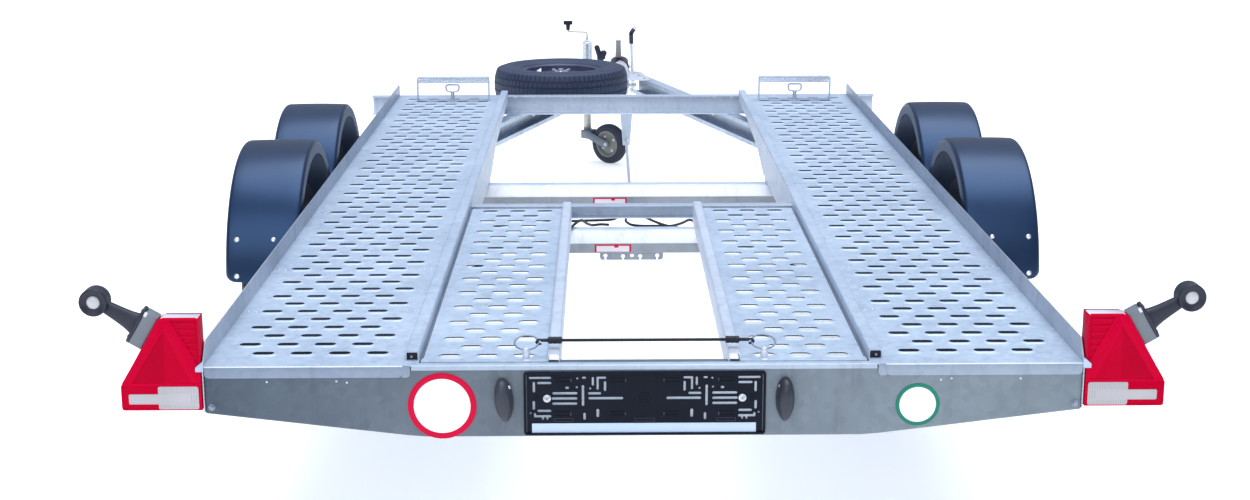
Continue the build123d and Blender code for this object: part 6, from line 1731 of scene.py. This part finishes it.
slab(b, rounded(-0.0195, Y(5722.5), 0.0075, Y(5735.5), 0.004, 4), plane_xy(Z(29.0)), 0.0, 0.0065, "clear_strip", edge=0.002, steps=3)
b.object("coupling_grip", "chassis", sharp=45, replaces=["coupling_handle"])

# coupling head: small red indicator window, pivot bolts
b = Build()
slab(b, rounded(-0.0075, Z(-84), 0.0045, Z(-64), 0.002, 3), lambda u, v, w: (u, Y(5640) - w, v), -0.002, 0.0015, "red_vinyl", edge=0.0006)
slab(b, rounded(-0.011, Z(-76), 0.008, Z(-71), 0.001, 2), lambda u, v, w: (u, Y(5639.0) - w, v), -0.0008, 0.0012, "label_pink", edge=0.0003, steps=1)
for s_ in (-1, 1):
    for v, z in ((5665, -100), (5665, -132)):
        bolt(b, (s_ * 0.047, Y(v), Z(z)), (s_, 0, 0), r=0.009, h=0.007, nut=(s_ > 0))
b.object("coupling_details", "chassis")

# ---------------------------------------------------------------- handbrake lever
b = Build()
ly, lz = Y(5335), Z(-150)
bar = arc_path([(0.064, ly, lz + 0.018), (0.0546, ly, Z(100)), (0.0600, ly, Z(120))], 0.020, 6)
tube(b, bar, 0.0080, "pale_zinc", 20)
grip = arc_path([(0.0562, ly, Z(62)), (0.0545, ly, Z(112)), (0.0700, ly, Z(134.4))], 0.018, 10)
gr = []
for i, p_ in enumerate(grip):
    gr.append(0.0112 + (0.0006 if i % 2 else 0.0))
gpts, grad = [], []
for i in range(len(grip) - 1):
    for j in range(6):
        t = j / 6
        gpts.append(grip[i].lerp(grip[i + 1], t))
        grad.append(0.0108 + 0.0006 * (0.5 + 0.5 * math.cos(2 * math.pi * len(gpts) / 4)))
gpts.append(grip[-1])
grad.append(0.0106)
tube(b, gpts, 0.0115, "grip_slate", 24, radii=grad)
torus(b, grip[0], (-0.04, 0, 1), 0.0098, 0.0018, "grip_slate", 28, 8)
tip = [(0.0690, ly, Z(133)), (0.0725, ly, Z(138)), (0.0762, ly, Z(143.5)), (0.0780, ly, Z(146))]
tube(b, tip, 0.0085, "clear_strip", 20, radii=[0.0108, 0.0106, 0.0094, 0.0056])
lathe(b, (0.0552, ly, lz), (1, 0, 0), [(0.0, 0.0082), (0.0, 0.0208), (0.0012, 0.0220), (0.0155, 0.0220), (0.0168, 0.0208), (0.0168, 0.0082)], "pale_zinc", 40, caps=False)
lathe(b, (0.0552, ly, lz), (1, 0, 0), [(0.0168, 0.0082), (0.0, 0.0082)], "pale_zinc", 40, caps=False)
b.object("handbrake_detail", "handbrake", sharp=40, replaces=["handbrake_lever"])
# ---------------------------------------------------------------- jockey wheel
JX, JY = -0.167, Y(5240)
b = Build()
# outer tube with its collar, clamp block and domed cap
lathe(b, (JX, JY, Z(-282)), (0, 0, 1), [(0.0, 0.0212), (0.0, 0.0262), (0.0008, 0.0270), (0.0148, 0.0270), (0.0158, 0.0262), (0.0160, 0.0242), (0.0175, 0.0240), (0.3570, 0.0240)], "steel_tube", 48, caps=False)
lathe(b, (JX, JY, Z(-282)), (0, 0, 1), [(0.3570, 0.0208), (0.0, 0.0212)], "steel_tube", 40, caps=False)
lathe(b, (JX, JY, Z(75)), (0, 0, 1), [(-0.004, 0.0245), (0.0020, 0.0247), (0.0048, 0.0235), (0.0066, 0.0200), (0.0070, 0.0140), (0.0070, 1e-5)], "pale_zinc", 40, caps=False)
n31 = math.hypot(0.31, 1.0)
bi = lambda y: (570.0 - 0.31 * (y * 1000 - Y0 * 1000 - 3564.0)) / 1000.0
blk = [(-bi(JY - 0.045) - 0.0546, JY - 0.045), (JX - 0.004, JY - 0.034), (JX - 0.034, JY - 0.016), (JX - 0.034, JY + 0.012), (JX - 0.006, JY + 0.032),
       (JX + 0.006, JY + 0.032), (-bi(JY + 0.010) - 0.0546, JY + 0.010)]
blk = [(x, y) for x, y in blk]
area = sum(blk[i][0] * blk[(i + 1) % 7][1] - blk[(i + 1) % 7][0] * blk[i][1] for i in range(7))
if area < 0:
    blk.reverse()
slab(b, round_poly(blk, 0.006, 4), plane_xy(Z(-168)), 0.0, 0.082, "cast_grey", edge=0.003, steps=3)
for z in (-150.0, -104.0):
    bolt(b, (JX - 0.020, JY - 0.027, Z(z)), (-0.55, -0.83, 0), r=0.0075, h=0.006)
b.object("jockey_tube_shell", "chassis", sharp=40, replaces=["jockey_tube"])

b = Build()
# clamp toggle: threaded rod and a grip of two lobes
tube(b, [(-0.1145, JY, Z(-86)), (-0.1145, JY, Z(-8))], 0.0050, "zinc", 16)
for i in range(18):
    torus(b, (-0.1145, JY, Z(-82 + i * 3.0)), (0, 0, 1), 0.0049, 0.0006, "zinc", 20, 6)


def lobe(b, p, q, r0, r1, mat, flat=0.62):
    """Rounded finger from p to q with radii r0 and r1, flattened along Y."""
    p, q = Vector(p), Vector(q)
    d = (q - p).normalized()
    x = Vector((d.z, 0, -d.x)).normalized()
    K, N = 24, 20
    V, F = [], []
    L_ = (q - p).length
    for i in range(N + 1):
        u = i / N
        s = -r0 + u * (L_ + r0 + r1)
        if s < 0:
            r = math.sqrt(max(0.0, r0 * r0 - s * s))
        elif s > L_:
            r = math.sqrt(max(0.0, r1 * r1 - (s - L_) ** 2))
        else:
            r = r0 + (r1 - r0) * s / L_
        r = max(r, 1e-5)
        for j in range(K):
            t = 2 * math.pi * j / K
            V.append(p + d * s + x * r * math.cos(t) + Vector((0, 1, 0)) * min(r, max(r0, r1)) * flat * math.sin(t))
    for i in range(N):
        for j in range(K):
            j2 = (j + 1) % K
            F.append((i * K + j, (i + 1) * K + j, (i + 1) * K + j2, i * K + j2))
    b.add(V, F, mat)


lobe(b, (-0.1010, JY, Z(0)), (-0.1180, JY, Z(53)), 0.0135, 0.0132, "grip_black", 0.72)
lobe(b, (-0.0930, JY, Z(0)), (-0.0840, JY, Z(24)), 0.0130, 0.0158, "grip_black", 0.66)
lobe(b, (-0.1090, JY, Z(0)), (-0.0840, JY, Z(2)), 0.0095, 0.0095, "grip_black", 0.9)
torus(b, (-0.0835, JY - 0.0090, Z(25)), (0, 1, 0), 0.0085, 0.0012, "grip_black", 28, 8)
b.object("jockey_toggle", "chassis", sharp=50, replaces=["jockey_clamp_handle"])

b = Build()
# spindle and bent crank, turned grip with a T-shaped head
lathe(b, (JX, JY, Z(82.2)), (0, 0, 1), [(0.0, 0.0135), (0.0075, 0.0140), (0.0095, 0.0120), (0.0100, 0.0068), (0.024, 0.0064), (0.026, 0.0054)], "zinc", 32)
crank = arc_path([(JX, JY, Z(90)), (JX, JY, Z(129)), (-0.2615, JY, Z(133)), (-0.2615, JY, Z(150))], 0.012, 8)
tube(b, crank, 0.0046, "cream_rod", 16)
lathe(b, (-0.2615, JY, Z(140)), (0, 0, 1), [(0.0, 0.0078), (0.003, 0.0092), (0.012, 0.0098), (0.024, 0.0110), (0.029, 0.0112)], "coat_black", 32)
V, F = [], []
K = 44
outl = []
for j in range(K):
    t = 2 * math.pi * j / K
    outl.append((0.0225 * abs(math.cos(t)) ** 0.62 * (1 if math.cos(t) > 0 else -1), 0.0115 * abs(math.sin(t)) ** 0.8 * (1 if math.sin(t) > 0 else -1)))
slab(b, outl, lambda u, v, w: (-0.2615 + u, JY + v, Z(167.0) + w), 0.0, 0.0196, "coat_black", edge=0.0042, steps=4)
b.object("jockey_crank_detail", "chassis", sharp=45, replaces=["jockey_crank"])

b = Build()
# inner leg
lathe(b, (JX, JY, Z(-350)), (0, 0, 1), [(0.0, 0.0092), (0.0, 0.0185), (0.0006, 0.0190), (0.299, 0.0190), (0.300, 0.0182)], "leg_olive", 40, caps=False)
lathe(b, (JX, JY, Z(-350)), (0, 0, 1), [(0.0135, 1e-5), (0.0135, 0.0090), (0.0, 0.0092)], "leg_olive", 32, caps=False)
lathe(b, (JX, JY, Z(-50)), (0, 0, 1), [(0.0, 0.0182), (0.0, 1e-5)], "leg_olive", 32, caps=False)
b.object("jockey_leg_detail", "jockey_leg", sharp=40, replaces=["jockey_leg"])

b = Build()
# fork: two side plates with rounded ends, a bridge and the axle bolt
jc, js = math.cos(math.radians(-38.0)), math.sin(math.radians(-38.0))
fo = Vector((JX, JY, 0.0))
fx, fz, fn = Vector((jc, js, 0)), Vector((0, 0, 1)), Vector((js, -jc, 0))
lathe(b, (JX, JY, Z(-404)), (0, 0, 1), [(0.0, 0.0190), (0.001, 0.0200), (0.0520, 0.0200), (0.0530, 0.0190), (0.0530, 0.0090), (0.0635, 0.0090), (0.064, 0.0084)], "fork_grey", 40)
wz = -520.0 + 100.0
side_o = [(-0.016, -0.402), (0.030, -0.404), (0.128, -0.4375)]
for t in np.linspace(-math.radians(128), math.radians(62), 12):
    side_o.append((0.140 + 0.019 * math.cos(t), wz / 1000 + 0.019 * math.sin(t)))
side_o += [(0.144, -0.4025), (0.026, -0.362), (-0.016, -0.362)]
for off in (-34.0, 30.0):
    fpl = (lambda o__: (lambda u, v, w: tuple(fo + fx * u + fn * ((o__ + w * 1000) / 1000.0) + fz * (DZ + v))))(off)
    slab(b, round_poly(side_o[:3], 0.004, 3)[:0] + side_o, fpl, 0.0, 0.004, "fork_grey", edge=0.0010, steps=2)
br = lambda u, v, w: tuple(fo + fx * u + fn * w + fz * (DZ + v))
slab(b, round_poly([(-0.016, -0.402), (0.028, -0.402), (0.028, -0.362), (-0.016, -0.362)], 0.006, 5), br, -0.0342, 0.0342, "fork_grey", edge=0.0012, steps=2)
wc = fo + fx * 0.140 + fz * (DZ + wz / 1000)
for sg in (-1, 1):
    bolt(b, wc + fn * (sg * 0.034), fn * sg, r=0.0085, h=0.0035, washer=False, nut=False)
tube(b, [wc - fn * 0.0375, wc + fn * 0.0375], 0.0058, "zinc", 20)
b.object("jockey_fork_detail", "jockey_fork", sharp=38, replaces=["jockey_fork"])

b = Build()
for sg in (-1, 1):
    prof = [(0.0268, 0.0062), (0.0270, 0.0075), (0.0268, 0.0165), (0.0255, 0.0172), (0.0150, 0.0185), (0.0100, 0.030), (0.0085, 0.048), (0.0120, 0.0530), (0.0205, 0.0572), (0.0238, 0.0605), (0.0249, 0.0650), (0.0243, 0.0659), (0.0215, 0.0655), (0.004, 0.0588), (0.0, 0.0582)]
    lathe(b, wc, fn * sg, prof, "rim_jockey", 56, x=fx, caps=False)
lathe(b, wc, fn, [(-0.0268, 0.0061), (0.0268, 0.0061)], "zinc", 24, caps=False)
for sg in (-1, 1):
    for i in range(4):
        t = i * math.pi / 2 + 0.6
        d_ = fx * math.cos(t) + Vector((0, 0, 1)) * math.sin(t)
        bolt(b, wc + fn * (sg * 0.0088) + d_ * 0.039, fn * sg, r=0.0045, h=0.0035, washer=True)
b.object("jockey_rim_detail", "jockey_wheel", sharp=38, replaces=["jockey_rim"])

b = Build()
prof = []
half = [(0.0195, 0.0664), (0.0246, 0.0666), (0.0254, 0.0700), (0.0255, 0.0780), (0.0248, 0.0850), (0.0228, 0.0905), (0.0185, 0.0955), (0.0120, 0.0985), (0.0085, 0.0991), (0.0082, 0.0968), (0.0050, 0.0968), (0.0047, 0.0996), (0.0, 0.0999)]
prof = [(a, r) for a, r in half] + [(-a, r) for a, r in reversed(half[:-1])]
lathe(b, wc, fn, prof, "tyre", 72, x=fx, caps=False)
lathe(b, wc, fn, [(-0.0195, 0.0664), (0.0, 0.0584), (0.0195, 0.0664)], "tyre", 56, x=fx, caps=False)
b.object("jockey_tyre_detail", "jockey_wheel", sharp=38, replaces=["jockey_tyre"])
# ---------------------------------------------------------------- lock pins and the cord between them
b = Build()
CY, CZ = Y(71), Z(36)
for x, end, s_ in ((-0.262, -0.183, 1.0), (0.267, 0.182, -1.0)):
    lathe(b, (x, Y(46), Z(-32)), (0, 0, 1), [(0.0, 0.0058), (0.004, 0.0080), (0.0288, 0.0080), (0.0292, 0.0116), (0.0322, 0.0118), (0.0330, 0.0108), (0.0334, 0.0083), (0.0480, 0.0083), (0.0540, 0.0079), (0.0568, 0.0066), (0.0578, 0.0040), (0.0580, 1e-5)], "pale_zinc", 32)
    # ring through the pin's head, leaning back
    rn_ = Vector((0, -math.sin(math.radians(20)), math.cos(math.radians(20))))
    torus(b, (x, Y(71), Z(31)), rn_, 0.0267, 0.0022, "pin_steel", 64, 12)
    # eye on top of the stem
    torus(b, (x, Y(46), Z(21.4)), (1, 0.2, 0), 0.0046, 0.0022, "pale_zinc", 28, 10)
    # hook of the cord: a hooked wire end, two side wires, a taper and a crimped sleeve
    a = Vector((s_, 0, 0))
    o = Vector((x + s_ * 0.0267, CY, Z(31.5)))
    hook = arc_path([o + a * 0.010 + Vector((0, 0, 0.0055)), o + Vector((0, 0, 0.0062)), o - a * 0.0058 + Vector((0, 0, 0.0010)), o - a * 0.0010 + Vector((0, 0, -0.0052)), o + a * 0.0062 + Vector((0, 0, -0.0034))], 0.0026, 5)
    tube(b, hook, 0.0024, "coat_black", 12)
    L_ = abs(end - s_ * 0.030 - (x + s_ * 0.032))
    p0 = Vector((x + s_ * 0.032, CY, CZ))
    for dz in (-0.0022, 0.0022):
        tube(b, [p0 + Vector((0, 0, dz)), p0 + a * L_ + Vector((0, 0, dz))], 0.0017, "coat_black", 12)
    lathe(b, p0 - a * 0.001, a, [(0.0, 0.0020), (0.003, 0.0036), (0.007, 0.0032), (L_ - 0.006, 0.0028), (L_ - 0.003, 0.0040), (L_ + 0.002, 0.0044)], "coat_black", 20)
    q = Vector((end - s_ * 0.031, CY, CZ))
    lathe(b, q, a, [(0.0, 0.0056), (0.0009, 0.0077), (0.0022, 0.0080), (0.0090, 0.0080), (0.0098, 0.0075), (0.0120, 0.0075), (0.0128, 0.0080), (0.0190, 0.0080), (0.0198, 0.0075), (0.0220, 0.0075), (0.0228, 0.0080), (0.0296, 0.0080), (0.0306, 0.0074), (0.0310, 0.0056)], "coat_black", 28)
b.object("lock_pins_detail", "ramps", sharp=40, replaces=["lock_pins"])

crv = bpy.data.curves.new("lock_cord_curve", "CURVE")
crv.dimensions = "3D"
sp = crv.splines.new("NURBS")
xs = [-0.183, -0.122, -0.061, 0.0, 0.061, 0.121, 0.182]
sp.points.add(len(xs) - 1)
for pt, x in zip(sp.points, xs):
    pt.co = (x, CY, CZ, 1.0)
sp.order_u = 3
sp.use_endpoint_u = True
crv.bevel_depth = 0.0035
crv.bevel_resolution = 4
crv.use_fill_caps = True
crv.materials.append(M["rubber"])
cord = bpy.data.objects.new("lock_cord_line", crv)
bpy.context.scene.collection.objects.link(cord)
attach(cord, "ramps")
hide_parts("lock_cord")
